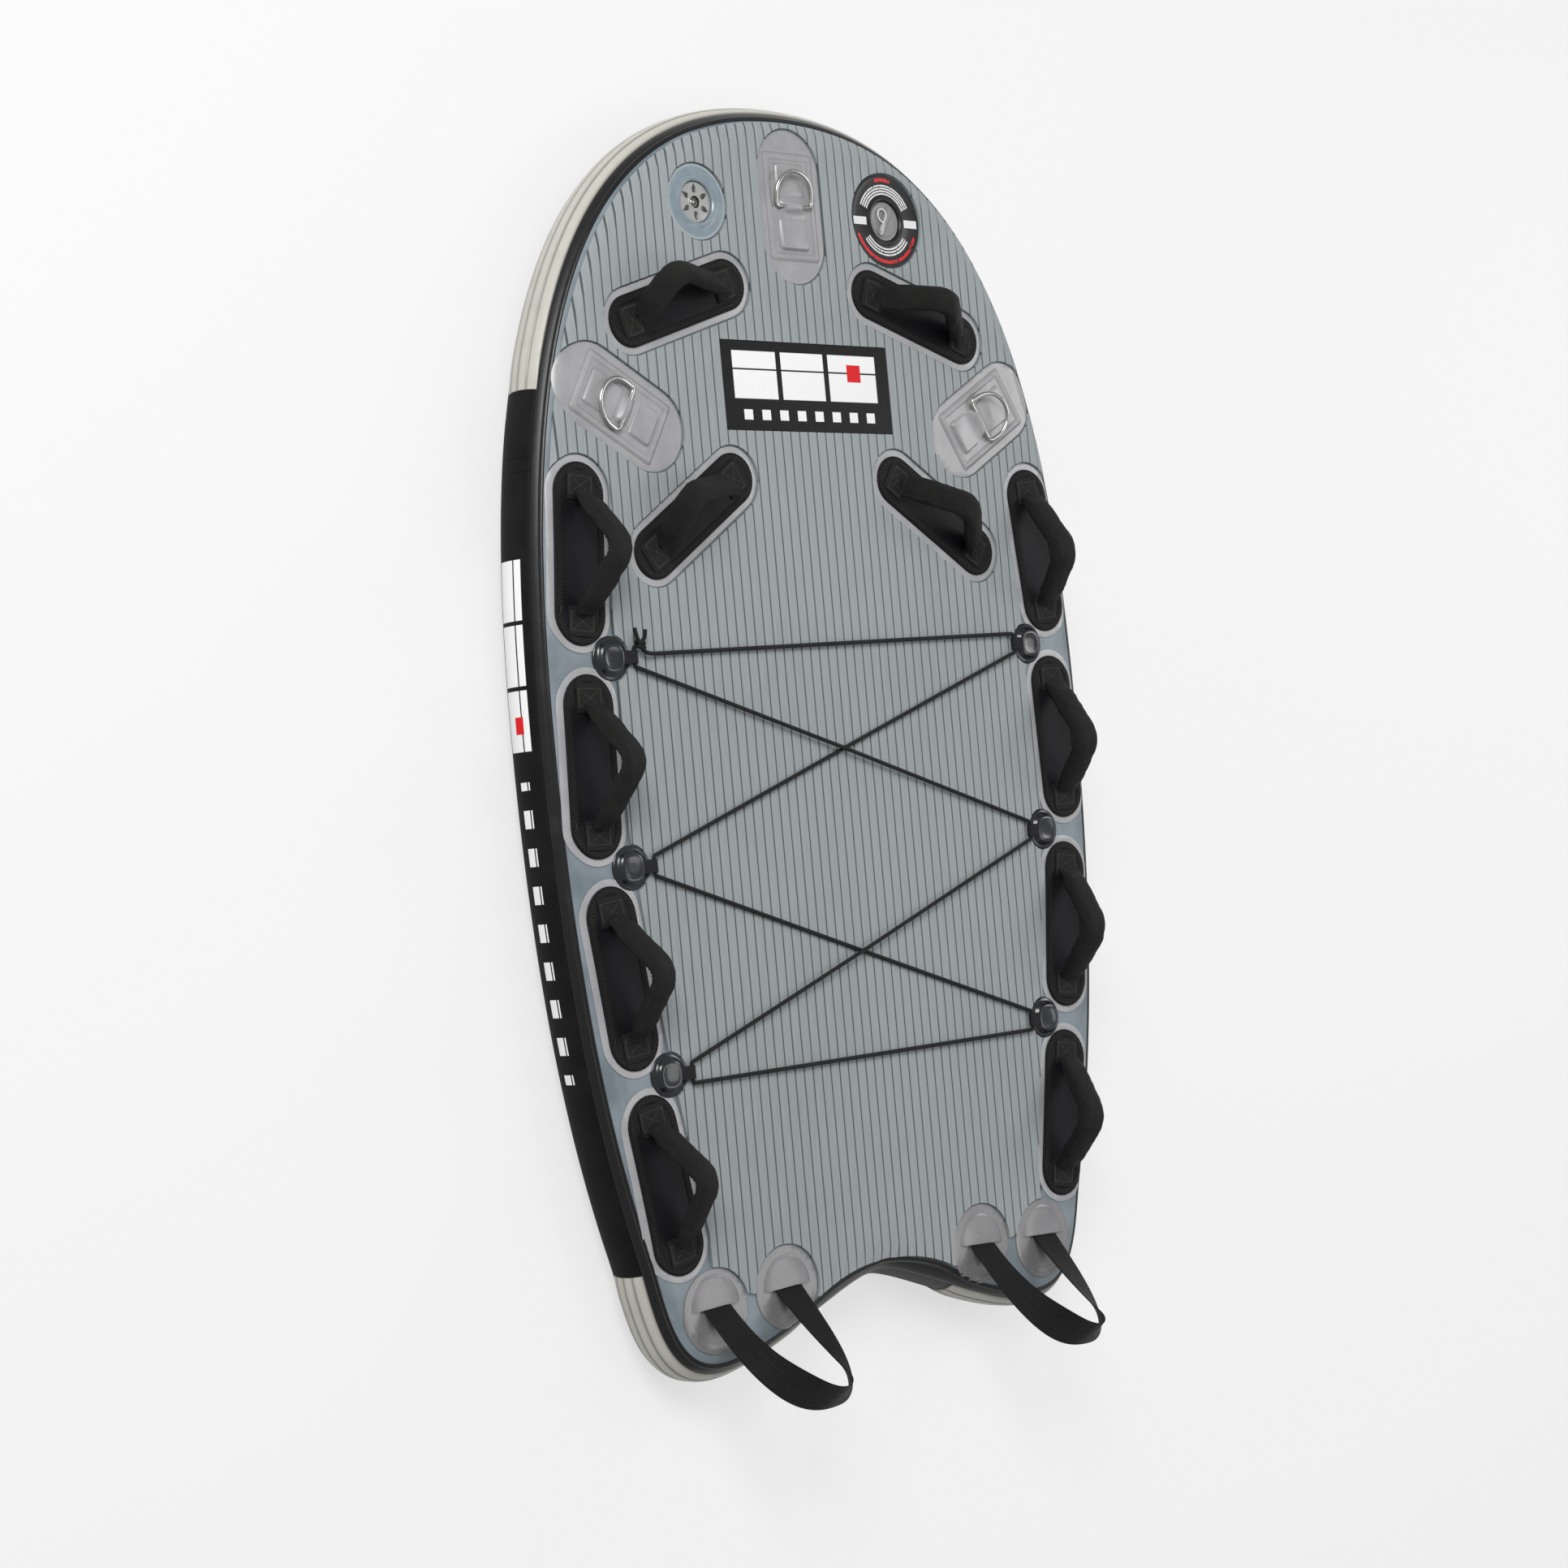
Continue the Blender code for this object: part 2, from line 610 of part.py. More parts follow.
# Handle pads.
anchor_holes = []
for side in (1, -1):
    for spot in ANCHORS:
        anchor_holes.append(circle(in_metres(spot, side), ANCHOR_RADIUS + GAP, ANCHOR_SIDES))
anchor_cutter = prisms("anchor_cutter", anchor_holes, BELOW, ABOVE, ANCHOR_RUBBER)
patch_outlines = []


def handle_base(name, ends, radius):
    first, second = ends
    border = radius + PATCH_BORDER
    patch_outlines.append(stadium(first, second, border + PAD_CUT, END_ARC_STEPS))
    base = prism(name, stadium(first, second, border, END_ARC_STEPS), BELOW, ABOVE, HANDLE_CLOTH)
    combine(base, patch_layer, "INTERSECT")
    outline = stadium(first, second, radius, END_ARC_STEPS)
    cloth = prism(name + "_cloth", outline, BELOW, ABOVE, HANDLE_CLOTH, True)
    combine(cloth, cloth_layer, "INTERSECT")
    way = Vector(second) - Vector(first)
    middle = (Vector(first) + Vector(second)) / 2
    heading = math.atan2(way.y, way.x)
    reach = GRIP_HALF_LONG + GAP * 2 + TAB_LONG / 2
    spots = [middle + way.normalized() * s * reach for s in (-1, 1)]
    outlines = [box_outline(spot, TAB_LONG, TAB_WIDE, heading) for spot in spots]
    tabs = prisms(name + "_tabs", outlines, BELOW, ABOVE, HANDLE_CLOTH)
    combine(tabs, tab_layer, "INTERSECT")
    combine(base, cloth, "UNION")
    combine(base, tabs, "UNION")
    if radius == SIDE_PAD_RADIUS:
        combine(base, anchor_cutter, "DIFFERENCE")
    return base


def grip_profile(shift):
    """Places along the sleeve: distance along the pad and height over the swing line, heading, half width and
    half thickness. Each end is a round root on the swing line, just clear of the pad."""
    root = GRIP_AXIS_HIGH - GAP
    start = Vector((-GRIP_HALF_LONG, 0.0))
    end = Vector((GRIP_HALF_LONG, 0.0))
    # Every sleeve is as long as one bent in its middle, so a bend further along lies lower.
    half_sleeve = math.hypot(GRIP_HALF_LONG, GRIP_HIGH)
    high = GRIP_HIGH * math.sqrt(1 - (shift / half_sleeve) ** 2)
    peak = Vector((shift, high + GRIP_BEND * GRIP_HIGH / half_sleeve / 2))
    rise, fall = (peak - start).normalized(), (end - peak).normalized()
    bend_in, bend_out = peak - rise * GRIP_BEND, peak + fall * GRIP_BEND
    side = (GRIP_STATIONS - 5) // 2
    line = [start.lerp(bend_in, (k / side) ** 1.3) for k in range(side)]
    for k in range(5):
        t = k / 4
        line.append((1 - t) ** 2 * bend_in + 2 * (1 - t) * t * peak + t * t * bend_out)
    line += [bend_out.lerp(end, 1 - (1 - k / side) ** 1.3) for k in range(1, side + 1)]
    cosine, sine = math.cos(GRIP_SWING), math.sin(GRIP_SWING)
    profile = []
    for i, point in enumerate(line):
        if i in (0, len(line) - 1):
            profile.append((point, Vector((1.0, 0.0)), root, root))
            continue
        way = (line[i + 1] - line[i - 1]).normalized()
        half_thick = min(GRIP_THICK / 2, root + point.y * 0.5)
        # Swung right over, the section still clears the pad by as much as the root does.
        room = (point.y * cosine + root) ** 2 - (half_thick * way.x * cosine) ** 2
        half_wide = min(GRIP_WIDE / 2, math.sqrt(room) / sine * 0.96)
        profile.append((point, way, half_wide, half_thick))
    return profile


def grip(name, ends, lean, shift):
    """The sleeve, its origin on the line it swings about, leaning to the right of the way from end to end."""
    bm = bmesh.new()
    loops = []
    for point, way, half_wide, half_thick in grip_profile(shift):
        up = Vector((-way.y, way.x))
        loop = []
        for k in range(GRIP_SIDES):
            angle = 2 * math.pi * k / GRIP_SIDES
            c, s = math.cos(angle), math.sin(angle)
            along = point + up * (half_thick * s)
            loop.append(bm.verts.new((along.x, half_wide * c, along.y)))
        loops.append(loop)
    strip_faces(bm, loops, True, False)
    bm.faces.new(loops[0])
    bm.faces.new(loops[-1])
    first, second = Vector(ends[0]), Vector(ends[1])
    middle = (first + second) / 2
    heading = math.atan2(second.y - first.y, second.x - first.x)
    height = HULL_DEEP + HANDLE_TOP + GRIP_AXIS_HIGH
    place = Matrix.Translation((middle.x, middle.y, height)) @ Matrix.Rotation(heading, 4, "Z")
    return add(name, bm, SLEEVE_CLOTH, place @ Matrix.Rotation(lean, 4, "X"))


def handle(label, ends, radius, lean, shift):
    handle_base("handle_base_" + label, ends, radius)
    grip("handle_grip_" + label, ends, lean, shift)


for number, spots in enumerate(SIDE_HANDLES, 1):
    right = tuple(in_metres(p, 1) for p in spots)
    left = tuple(in_metres(p, -1) for p in spots)
    handle(f"side_right_{number}", right, SIDE_PAD_RADIUS, SIDE_LEAN, SIDE_RIGHT_SHIFT)
    handle(f"side_left_{number}", left, SIDE_PAD_RADIUS, -SIDE_LEAN, SIDE_LEFT_SHIFT)
front_leans = (
    ("upper", UPPER_RIGHT_LEAN, UPPER_RIGHT_SHIFT, UPPER_LEFT_LEAN, UPPER_LEFT_SHIFT),
    ("lower", LOWER_RIGHT_LEAN, LOWER_RIGHT_SHIFT, LOWER_LEFT_LEAN, LOWER_LEFT_SHIFT),
)
for spots, (level, right_lean, right_shift, left_lean, left_shift) in zip(FRONT_HANDLES, front_leans):
    right = tuple(in_metres(p, 1) for p in spots)
    left = tuple(in_metres(p, -1) for p in spots)
    handle(f"{level}_right", right, FRONT_PAD_RADIUS, right_lean, right_shift)
    handle(f"{level}_left", left, FRONT_PAD_RADIUS, -left_lean, left_shift)


# Tow points.
def ring_line():
    """The bent wire of a D ring: the bar lies on the swing line, the bow reaches along +Y."""
    half = RING_WIDE / 2 - RING_WIRE / 2
    points = []
    for sign, start in ((1, -math.pi / 2), (-1, math.pi)):
        x, y = sign * (half - RING_CORNER), RING_CORNER
        for k in range(3):
            angle = start + k * math.pi / 4
            points.append((x + RING_CORNER * math.cos(angle), y + RING_CORNER * math.sin(angle)))
    bow = []
    for k in range(9):
        angle = k * math.pi / 8
        bow.append((half * math.cos(angle), RING_LEG + half * math.sin(angle)))
    return points[:3] + bow + points[3:]


def d_ring(name, centre, heading, rest, height):
    line = [Vector((x, y, 0.0)) for x, y in ring_line()]
    bm = bmesh.new()
    loops = []
    up = Vector((0.0, 0.0, 1.0))
    for i, point in enumerate(line):
        before, after = line[i - 1], line[(i + 1) % len(line)]
        into, away = (point - before).normalized(), (after - point).normalized()
        way = (into + away).normalized()
        side = way.cross(up)
        widen = 1 / max(0.6, way.dot(into))
        loop = []
        for k in range(RING_SIDES):
            angle = 2 * math.pi * k / RING_SIDES
            offset = side * (math.cos(angle) * widen) + up * math.sin(angle)
            loop.append(bm.verts.new(point + offset * RING_WIRE / 2))
        loops.append(loop)
    strip_faces(bm, loops, True, True)
    place = Matrix.Translation((centre[0], centre[1], height)) @ Matrix.Rotation(heading, 4, "Z")
    return add(name, bm, STEEL, place @ Matrix.Rotation(rest, 4, "X"))


def tow_point(label, centre, heading, half_span, bar_shift, rest):
    """Heading turns +Y to the way the ring points. The bar lies this far along it from the patch's middle."""
    way = Vector((-math.sin(heading), math.cos(heading)))
    first, second = Vector(centre) - way * half_span, Vector(centre) + way * half_span
    patch_outlines.append(stadium(first, second, TOW_RADIUS + PAD_CUT, TOW_ARC_STEPS))
    outline = stadium(first, second, TOW_RADIUS, TOW_ARC_STEPS)
    base = prism("tow_patch_" + label, outline, BELOW, ABOVE, PATCH_PVC)
    combine(base, patch_layer, "INTERSECT")
    surface = HULL_DEEP + PATCH_TOP
    overlay = box_outline(centre, OVERLAY_WIDE, OVERLAY_LONG, heading)
    low = surface - PATCH_THICK / 2
    plate = prism("overlay_" + label, overlay, low, surface + OVERLAY_THICK, PATCH_PVC, True)
    combine(base, plate, "UNION")
    axis = surface + OVERLAY_THICK + RING_AXIS_HIGH
    bar = Vector(centre) + way * bar_shift
    bore = RING_WIRE / 2 + RING_PLAY
    bm = bmesh.new()
    half_long, top = SADDLE_LONG / 2, RING_AXIS_HIGH + bore + SADDLE_WALL
    section = [(-half_long, -OVERLAY_THICK / 2), (half_long, -OVERLAY_THICK / 2), (half_long, 0.6 * MM)]
    section += [(bore + SADDLE_WALL, top * 0.8), (bore * 0.5, top), (-bore * 0.5, top)]
    section += [(-bore - SADDLE_WALL, top * 0.8), (-half_long, 0.6 * MM)]
    ends = []
    for x in (-SADDLE_WIDE / 2, SADDLE_WIDE / 2):
        ends.append([bm.verts.new((x, y, z)) for y, z in section])
    strip_faces(bm, ends, True, False)
    bm.faces.new(ends[0])
    bm.faces.new(ends[1])
    place = Matrix.Translation((bar.x, bar.y, surface + OVERLAY_THICK)) @ Matrix.Rotation(heading, 4, "Z")
    saddle = add("saddle_" + label, bm, PATCH_PVC, place, True)
    combine(base, saddle, "UNION")
    lift = Matrix.Translation((bar.x, bar.y, axis)) @ Matrix.Rotation(heading, 4, "Z")
    on_side = Matrix.Rotation(math.pi / 2, 4, "Y")
    bore_cutter = add("bore_" + label, rod(bore, SADDLE_WIDE), STEEL, lift @ on_side, True)
    combine(base, bore_cutter, "DIFFERENCE")
    d_ring("tow_ring_" + label, bar, heading, rest, axis)


tow_point("nose", TOW_NOSE, 0.0, TOW_HALF_SPAN, 0.0, NOSE_RING_REST)
outward = math.pi / 2 - TOW_SIDE_TURN
tow_point("right", TOW_SIDE, -outward, TOW_SIDE_SPAN, SIDE_BAR_SHIFT, RIGHT_RING_REST)
tow_point("left", (-TOW_SIDE[0], TOW_SIDE[1]), outward, TOW_SIDE_SPAN, SIDE_BAR_SHIFT, LEFT_RING_REST)


# Cord anchors: a moulded dome with a webbing eye on its inboard side.
def anchor_mesh():
    base = HULL_DEEP + GAP
    profile = [(0.0, base), (ANCHOR_RADIUS, base), (ANCHOR_RADIUS, base + ANCHOR_BASE / 2)]
    profile += [(ANCHOR_RADIUS - 2 * MM, base + ANCHOR_BASE)]
    profile += [(ANCHOR_CAP_RADIUS + 3 * MM, base + ANCHOR_HIGH - 2 * MM)]
    profile += [(ANCHOR_CAP_RADIUS, base + ANCHOR_HIGH), (0.0, base + ANCHOR_HIGH)]
    dome = add("anchor_dome", turned(profile, ANCHOR_SIDES, (0.0, 0.0)), ANCHOR_RUBBER, helper=True)
    bore = CORD / 2 + CORD_PLAY
    axis = HULL_DEEP + CORD_HIGH
    half_deep = bore + ANCHOR_LOOP_WALL
    bm = bmesh.new()
    ends = []
    for y in (-ANCHOR_LOOP_WIDE / 2, ANCHOR_LOOP_WIDE / 2):
        loop = [bm.verts.new((-ANCHOR_CAP_RADIUS + 2 * MM, y, axis - half_deep * 0.9))]
        for k in range(7):
            angle = -math.pi / 2 - k * math.pi / 6
            x = -ANCHOR_REACH + half_deep * math.cos(angle)
            loop.append(bm.verts.new((x, y, axis + half_deep * math.sin(angle))))
        loop.append(bm.verts.new((-ANCHOR_CAP_RADIUS + 2 * MM, y, axis + half_deep * 0.2)))
        ends.append(loop)
    strip_faces(bm, ends, True, False)
    bm.faces.new(ends[0])
    bm.faces.new(ends[1])
    eye = add("anchor_eye", bm, ANCHOR_RUBBER, helper=True)
    combine(dome, eye, "UNION")
    spot = Matrix.Translation((-ANCHOR_REACH, 0.0, axis)) @ Matrix.Rotation(math.pi / 2, 4, "X")
    combine(dome, add("anchor_bore", rod(bore, ANCHOR_LOOP_WIDE), ANCHOR_RUBBER, spot, True), "DIFFERENCE")
    return settled(dome)


shared_anchor = anchor_mesh()
for number, spot in enumerate(ANCHORS, 1):
    for side, label in ((1, "right"), (-1, "left")):
        x, y = in_metres(spot, side)
        turn = Matrix.Rotation(0.0 if side == 1 else math.pi, 4, "Z")
        add_mesh(f"cord_anchor_{label}_{number}", shared_anchor, Matrix.Translation((x, y, 0.0)) @ turn)


# The elastic cord: once round all six eyes and tied beside the first.
def cord_points():
    """The cord's middle line from its first tail to its last."""
    level = HULL_DEEP + CORD_HIGH
    rest_low = HULL_DEEP + GAP + PAD_THICK + GAP + CORD / 2
    over = rest_low + CORD + 2 * CORD_PLAY
    half = ANCHOR_LOOP_WIDE / 2 + CORD_PLAY

    def eye(number, side):
        x, y = in_metres(ANCHORS[number - 1], side)
        return Vector((x - side * ANCHOR_REACH, y, level))

    def round_eye(number, side, enter):
        """Into the eye at its upper end (enter 1) or lower end (-1), and out at the other."""
        middle = eye(number, side)
        inboard = Vector((-side * 1.0, 0.0, 0.0))
        upright = Vector((0.0, 1.0, 0.0))
        points = []
        for sign, order in ((enter, (2, 1, 0)), (-enter, (0, 1, 2))):
            corner = middle + upright * (sign * half) + inboard * CORD_BEND
            for k in order:
                angle = k * math.pi / 4
                turn = upright * (sign * math.sin(angle)) - inboard * math.cos(angle)
                points.append(corner + turn * CORD_BEND)
        return points

    points = []
    first = eye(1, -1)
    for x, y, z in CORD_FIRST_TAIL:
        points.append(first + Vector((x, y, z)) * MM)
    stops = ((1, 1, 1), (2, -1, 1), (3, 1, 1), (3, -1, -1), (2, 1, -1))
    for number, side, enter in stops:
        points += round_eye(number, side, enter)
    last = [first + Vector((CORD_BEND * 1.0, -half - CORD_BEND, 0.0))]
    last.append(first + Vector((CORD_BEND * 0.3, -half - CORD_BEND * 0.7, 0.0)))
    last.append(first + Vector((0.0, -half, 0.0)))
    last.append(first + Vector((0.0, half, 0.0)))
    for x, y, z in CORD_LAST_TAIL:
        last.append(first + Vector((x, y, z)) * MM)
    points += last

    def crossing(a, b, c, d):
        """Where two runs cross, as a share along the first and along the second."""
        r, s = b - a, d - c
        span = r.x * s.y - r.y * s.x
        t = ((c.x - a.x) * s.y - (c.y - a.y) * s.x) / span
        u = ((c.x - a.x) * r.y - (c.y - a.y) * r.x) / span
        return t, u

    def bridged(line):
        """The runs that cross another: the later one goes over, so each gets a point there."""
        runs = [i for i in range(len(line) - 1) if (line[i + 1] - line[i]).length > 0.3]
        crossed = {}
        for a in runs:
            for b in runs:
                if b <= a + 1:
                    continue
                t, u = crossing(line[a], line[a + 1], line[b], line[b + 1])
                if 0.05 < t < 0.95 and 0.05 < u < 0.95:
                    crossed[a] = (t, rest_low)
                    crossed[b] = (u, over)
        result = []
        for i, point in enumerate(line):
            result.append(point)
            if i in crossed:
                share, height = crossed[i]
                way = line[i + 1] - point
                for offset in (-CORD * 1.5, CORD * 1.5):
                    place = point + way * (share + offset / way.length)
                    result.append(Vector((place.x, place.y, height)))
        return result

    return bridged(points)


def cord_object():
    curve = bpy.data.curves.new("bungee_cord", "CURVE")
    curve.dimensions = "3D"
    curve.bevel_depth = CORD / 2
    curve.bevel_resolution = 2
    curve.use_fill_caps = True
    points = cord_points()
    spline = curve.splines.new("POLY")
    spline.points.add(len(points) - 1)
    for slot, point in zip(spline.points, points):
        slot.co = (*point, 1.0)
    curve.materials.append(CORD_CLOTH)
    obj = bpy.data.objects.new("bungee_cord", curve)
    obj.parent = datum
    scene_root.objects.link(obj)


cord_object()


# Tail discs and straps.
def strap_pair(label, side):
    outer = Vector((DISC_OUTER[0] * side, DISC_OUTER[1]))
    inner = Vector((DISC_INNER[0] * side, DISC_INNER[1]))
    outer_slot = outer + Vector((0.0, SLOT_SHIFT_OUTER))
    inner_slot = inner + Vector((0.0, SLOT_SHIFT_INNER))
    slot_left, slot_right = (outer_slot, inner_slot) if side < 0 else (inner_slot, outer_slot)
    way = (slot_right - slot_left).normalized()
    nose = Vector((-way.y, way.x))
    heading = math.atan2(way.y, way.x)
    axis_high = HULL_DEEP + GAP + DISC_THICK + STRAP_AXIS_HIGH
    for spot, slot, place in ((outer, outer_slot, "outer"), (inner, inner_slot, "inner")):
        name = f"strap_disc_{label}_{place}"
        patch_outlines.append(circle(spot, DISC_RADIUS + PAD_CUT, DISC_SIDES))
        disc = prism(name, circle(spot, DISC_RADIUS, DISC_SIDES), BELOW, ABOVE, PATCH_PVC)
        combine(disc, disc_layer, "INTERSECT")
        # The pocket's open edge stands back far enough for the webbing to rise upright beside it.
        edge = slot + nose * (STRAP_ROOT_RADIUS + GAP)
        half_moon = []
        for k in range(11):
            angle = heading + math.pi * k / 10
            half_moon.append(edge + POCKET_RADIUS * Vector((math.cos(angle), math.sin(angle))))
        floor = HULL_DEEP + GAP + DISC_THICK / 2
        top = HULL_DEEP + GAP + DISC_THICK

        def slope(x, y, slot=slot, top=top):
            reach = (Vector((x, y)) - slot).dot(nose) / POCKET_RADIUS
            return top + POCKET_FRONT + (POCKET_BACK - POCKET_FRONT) * max(0.0, reach)

        pocket = prism(name + "_pocket", half_moon, floor, slope, PATCH_PVC, True)
        combine(disc, pocket, "UNION")
        groove = STRAP_ROOT_RADIUS + 2 * GAP
        lift = Matrix.Translation((slot.x, slot.y, axis_high)) @ Matrix.Rotation(heading, 4, "Z")
        on_side = Matrix.Rotation(math.pi / 2, 4, "Y")
        cutter = add(name + "_groove", rod(groove, STRAP_WIDE / 2 + 1 * MM), PATCH_PVC, lift @ on_side, True)
        combine(disc, cutter, "DIFFERENCE")
    middle = (slot_left + slot_right) / 2
    half_gap = (slot_right - slot_left).length / 2
    place = Matrix.Translation((middle.x, middle.y, axis_high)) @ Matrix.Rotation(heading, 4, "Z")
    strap("tail_strap_" + label, half_gap, place @ Matrix.Rotation(-STRAP_REST, 4, "X"))


def strap(name, half_gap, place):
    """A webbing loop in the plane of X and -Y. It leaves each slot square and flat along X, turns half round
    on the way, and bows out on its right, where the webbing stands on edge."""
    bm = bmesh.new()
    loops = []
    for i in range(STRAP_STATIONS):
        t = i / (STRAP_STATIONS - 1)
        s = 1 - t
        # A cubic between the slots, then a sideways bow that fades out before both ends.
        bow = STRAP_BOW_RIGHT * t - STRAP_BOW_LEFT * s
        x = half_gap * (t * t * (3 - 2 * t) * 2 - 1) + bow * (4 * s * t) ** 2
        slope_x = half_gap * 12 * s * t + bow * 32 * s * t * (s - t)
        slope_x += (STRAP_BOW_RIGHT + STRAP_BOW_LEFT) * (4 * s * t) ** 2
        centre = Vector((x, -STRAP_REACH * 4 * s * t, 0.0))
        way = Vector((slope_x, -STRAP_REACH * 4 * (s - t), 0.0)).normalized()
        ease = t * t * (3 - 2 * t)
        turn = math.pi * (STRAP_EVEN_TURN * t + (1 - STRAP_EVEN_TURN) * ease)
        across = Vector((math.cos(turn), 0.0, math.sin(turn)))
        across = (across - way * across.dot(way)).normalized()
        flat = way.cross(across)
        loop = []
        thick = STRAP_THICK if 0 < i < STRAP_STATIONS - 1 else 2 * STRAP_ROOT_RADIUS
        for u, v in ((-1, -1), (0, -1), (1, -1), (1, 1), (0, 1), (-1, 1)):
            loop.append(bm.verts.new(centre + across * (u * STRAP_WIDE / 2) + flat * (v * thick / 2)))
        loops.append(loop)
    strip_faces(bm, loops, True, False)
    bm.faces.new(loops[0])
    bm.faces.new(loops[-1])
    return add(name, bm, STRAP_WEB, place)


strap_pair("right", 1)
strap_pair("left", -1)


# Valves.
def valve_profile(flange, throat_low):
    """A flange on the deck, a raised rim and a tube down into the hull with a floor for the mechanism."""
    deck = HULL_DEEP + GAP
    top = deck + VALVE_FLANGE_THICK
    tube_in = VALVE_THROAT - VALVE_TUBE_WALL
    floor_top = deck - VALVE_FLOOR_DEEP
    floor_low = floor_top - VALVE_FLOOR_THICK
    bottom = deck - VALVE_DEEP
    profile = [(throat_low, floor_low), (tube_in, floor_low), (tube_in, bottom), (VALVE_THROAT, bottom)]
    profile += [(VALVE_THROAT, deck), (flange, deck), (flange, top), (VALVE_THROAT + 4 * MM, top)]
    profile += [(VALVE_THROAT + 2 * MM, top + VALVE_RIM_HIGH), (VALVE_THROAT, top + VALVE_RIM_HIGH)]
    profile += [(tube_in + 0.5 * MM, top), (tube_in, floor_top), (throat_low, floor_top)]
    return profile


valve_holes = [circle(spot, VALVE_THROAT + GAP, VALVE_SIDES) for spot in (RELIEF, INFLATE)]
valve_cutter = prisms("valve_cutter", valve_holes, HULL_DEEP - 20 * MM, HULL_DEEP + 10 * MM, DECK_PVC)
combine(deck_skin, valve_cutter, "DIFFERENCE")
wide_holes = [circle(spot, VALVE_THROAT + 6 * MM, 16) for spot in (RELIEF, INFLATE)]
core_cutter = prisms("core_cutter", wide_holes, HULL_DEEP - 20 * MM, HULL_DEEP + 10 * MM, CORE_CLOTH)
combine(core, core_cutter, "DIFFERENCE")

floor_high = HULL_DEEP + GAP - VALVE_FLOOR_DEEP
relief_bm = turned(valve_profile(RELIEF_FLANGE, STAR_INNER * 0.2), VALVE_SIDES, RELIEF)
relief = add("relief_valve_body", relief_bm, RELIEF_PLASTIC)
star = []
for k in range(STAR_SLOTS):
    angle = 2 * math.pi * (k + 0.5) / STAR_SLOTS
    reach = (STAR_INNER + STAR_OUTER) / 2
    spot = (RELIEF[0] + reach * math.cos(angle), RELIEF[1] + reach * math.sin(angle))
    star.append(box_outline(spot, STAR_OUTER - STAR_INNER, STAR_WIDE, angle))
star_cutter = prisms("star_cutter", star, floor_high - 10 * MM, floor_high + 4 * MM, RELIEF_PLASTIC)
combine(relief, star_cutter, "DIFFERENCE")
hole = [circle(RELIEF, POPPET_BORE, 20)]
poppet_cutter = prisms("poppet_cutter", hole, floor_high - 10 * MM, floor_high + 4 * MM, RELIEF_PLASTIC)
combine(relief, poppet_cutter, "DIFFERENCE")
head_top = -VALVE_FLOOR_THICK - GAP
head_low = head_top - POPPET_HEAD_THICK
stem = [(0.0, head_low), (POPPET_HEAD_RADIUS, head_low)]
stem += [(POPPET_HEAD_RADIUS, head_top), (POPPET_RADIUS, head_top)]
stem += [(POPPET_RADIUS, POPPET_RISE - 0.8 * MM), (POPPET_RADIUS - 1.2 * MM, POPPET_RISE), (0.0, POPPET_RISE)]
poppet_place = Matrix.Translation((RELIEF[0], RELIEF[1], floor_high))
add("relief_poppet", turned(stem, 16, (0.0, 0.0)), POPPET_PLASTIC, poppet_place)

inflate_bm = turned(valve_profile(INFLATE_FLANGE, 14 * MM), VALVE_SIDES, INFLATE)
add("inflation_valve_body", inflate_bm, LABEL_PLASTIC)
cap_radius = VALVE_THROAT - VALVE_TUBE_WALL - GAP
cap_profile = [(0.0, GAP), (cap_radius, GAP), (cap_radius, CAP_THICK - 0.8 * MM)]
cap_profile += [(cap_radius - 1.5 * MM, CAP_THICK), (0.0, CAP_THICK)]
cap_place = Matrix.Translation((INFLATE[0], INFLATE[1], floor_high))
cap = add("inflation_cap", turned(cap_profile, VALVE_SIDES, (0.0, 0.0)), CAP_PLASTIC, cap_place)
bar_outline = box_outline(INFLATE, CAP_BAR_LONG, CAP_BAR_WIDE, CAP_BAR_TURN)
cap_top = floor_high + CAP_THICK
bar = prism("cap_bar", bar_outline, cap_top - CAP_THICK / 2, cap_top + CAP_BAR_HIGH, CAP_PLASTIC, True)
combine(cap, bar, "UNION")

# The ribbed deck pad and the badge set into it.
patch_outlines.append(circle(RELIEF, RELIEF_FLANGE + PAD_CUT, VALVE_SIDES))
patch_outlines.append(circle(INFLATE, INFLATE_FLANGE + PAD_CUT, VALVE_SIDES))
badge_middle = (0.0, (BADGE_Y[0] + BADGE_Y[1]) / 2)
badge_size = (2 * BADGE_HALF_WIDE, BADGE_Y[1] - BADGE_Y[0])
patch_outlines.append(box_outline(badge_middle, badge_size[0] + 2 * GAP, badge_size[1] + 2 * GAP, 0.0))


def inboard_edge(ends, margin):
    """The two ends of the line that runs beside a handle patch, on its inboard side."""
    first, second = (Vector(in_metres(p, 1)) for p in ends)
    way = (second - first).normalized()
    return [p + Vector((way.y, -way.x)) * margin for p in (first, second)]


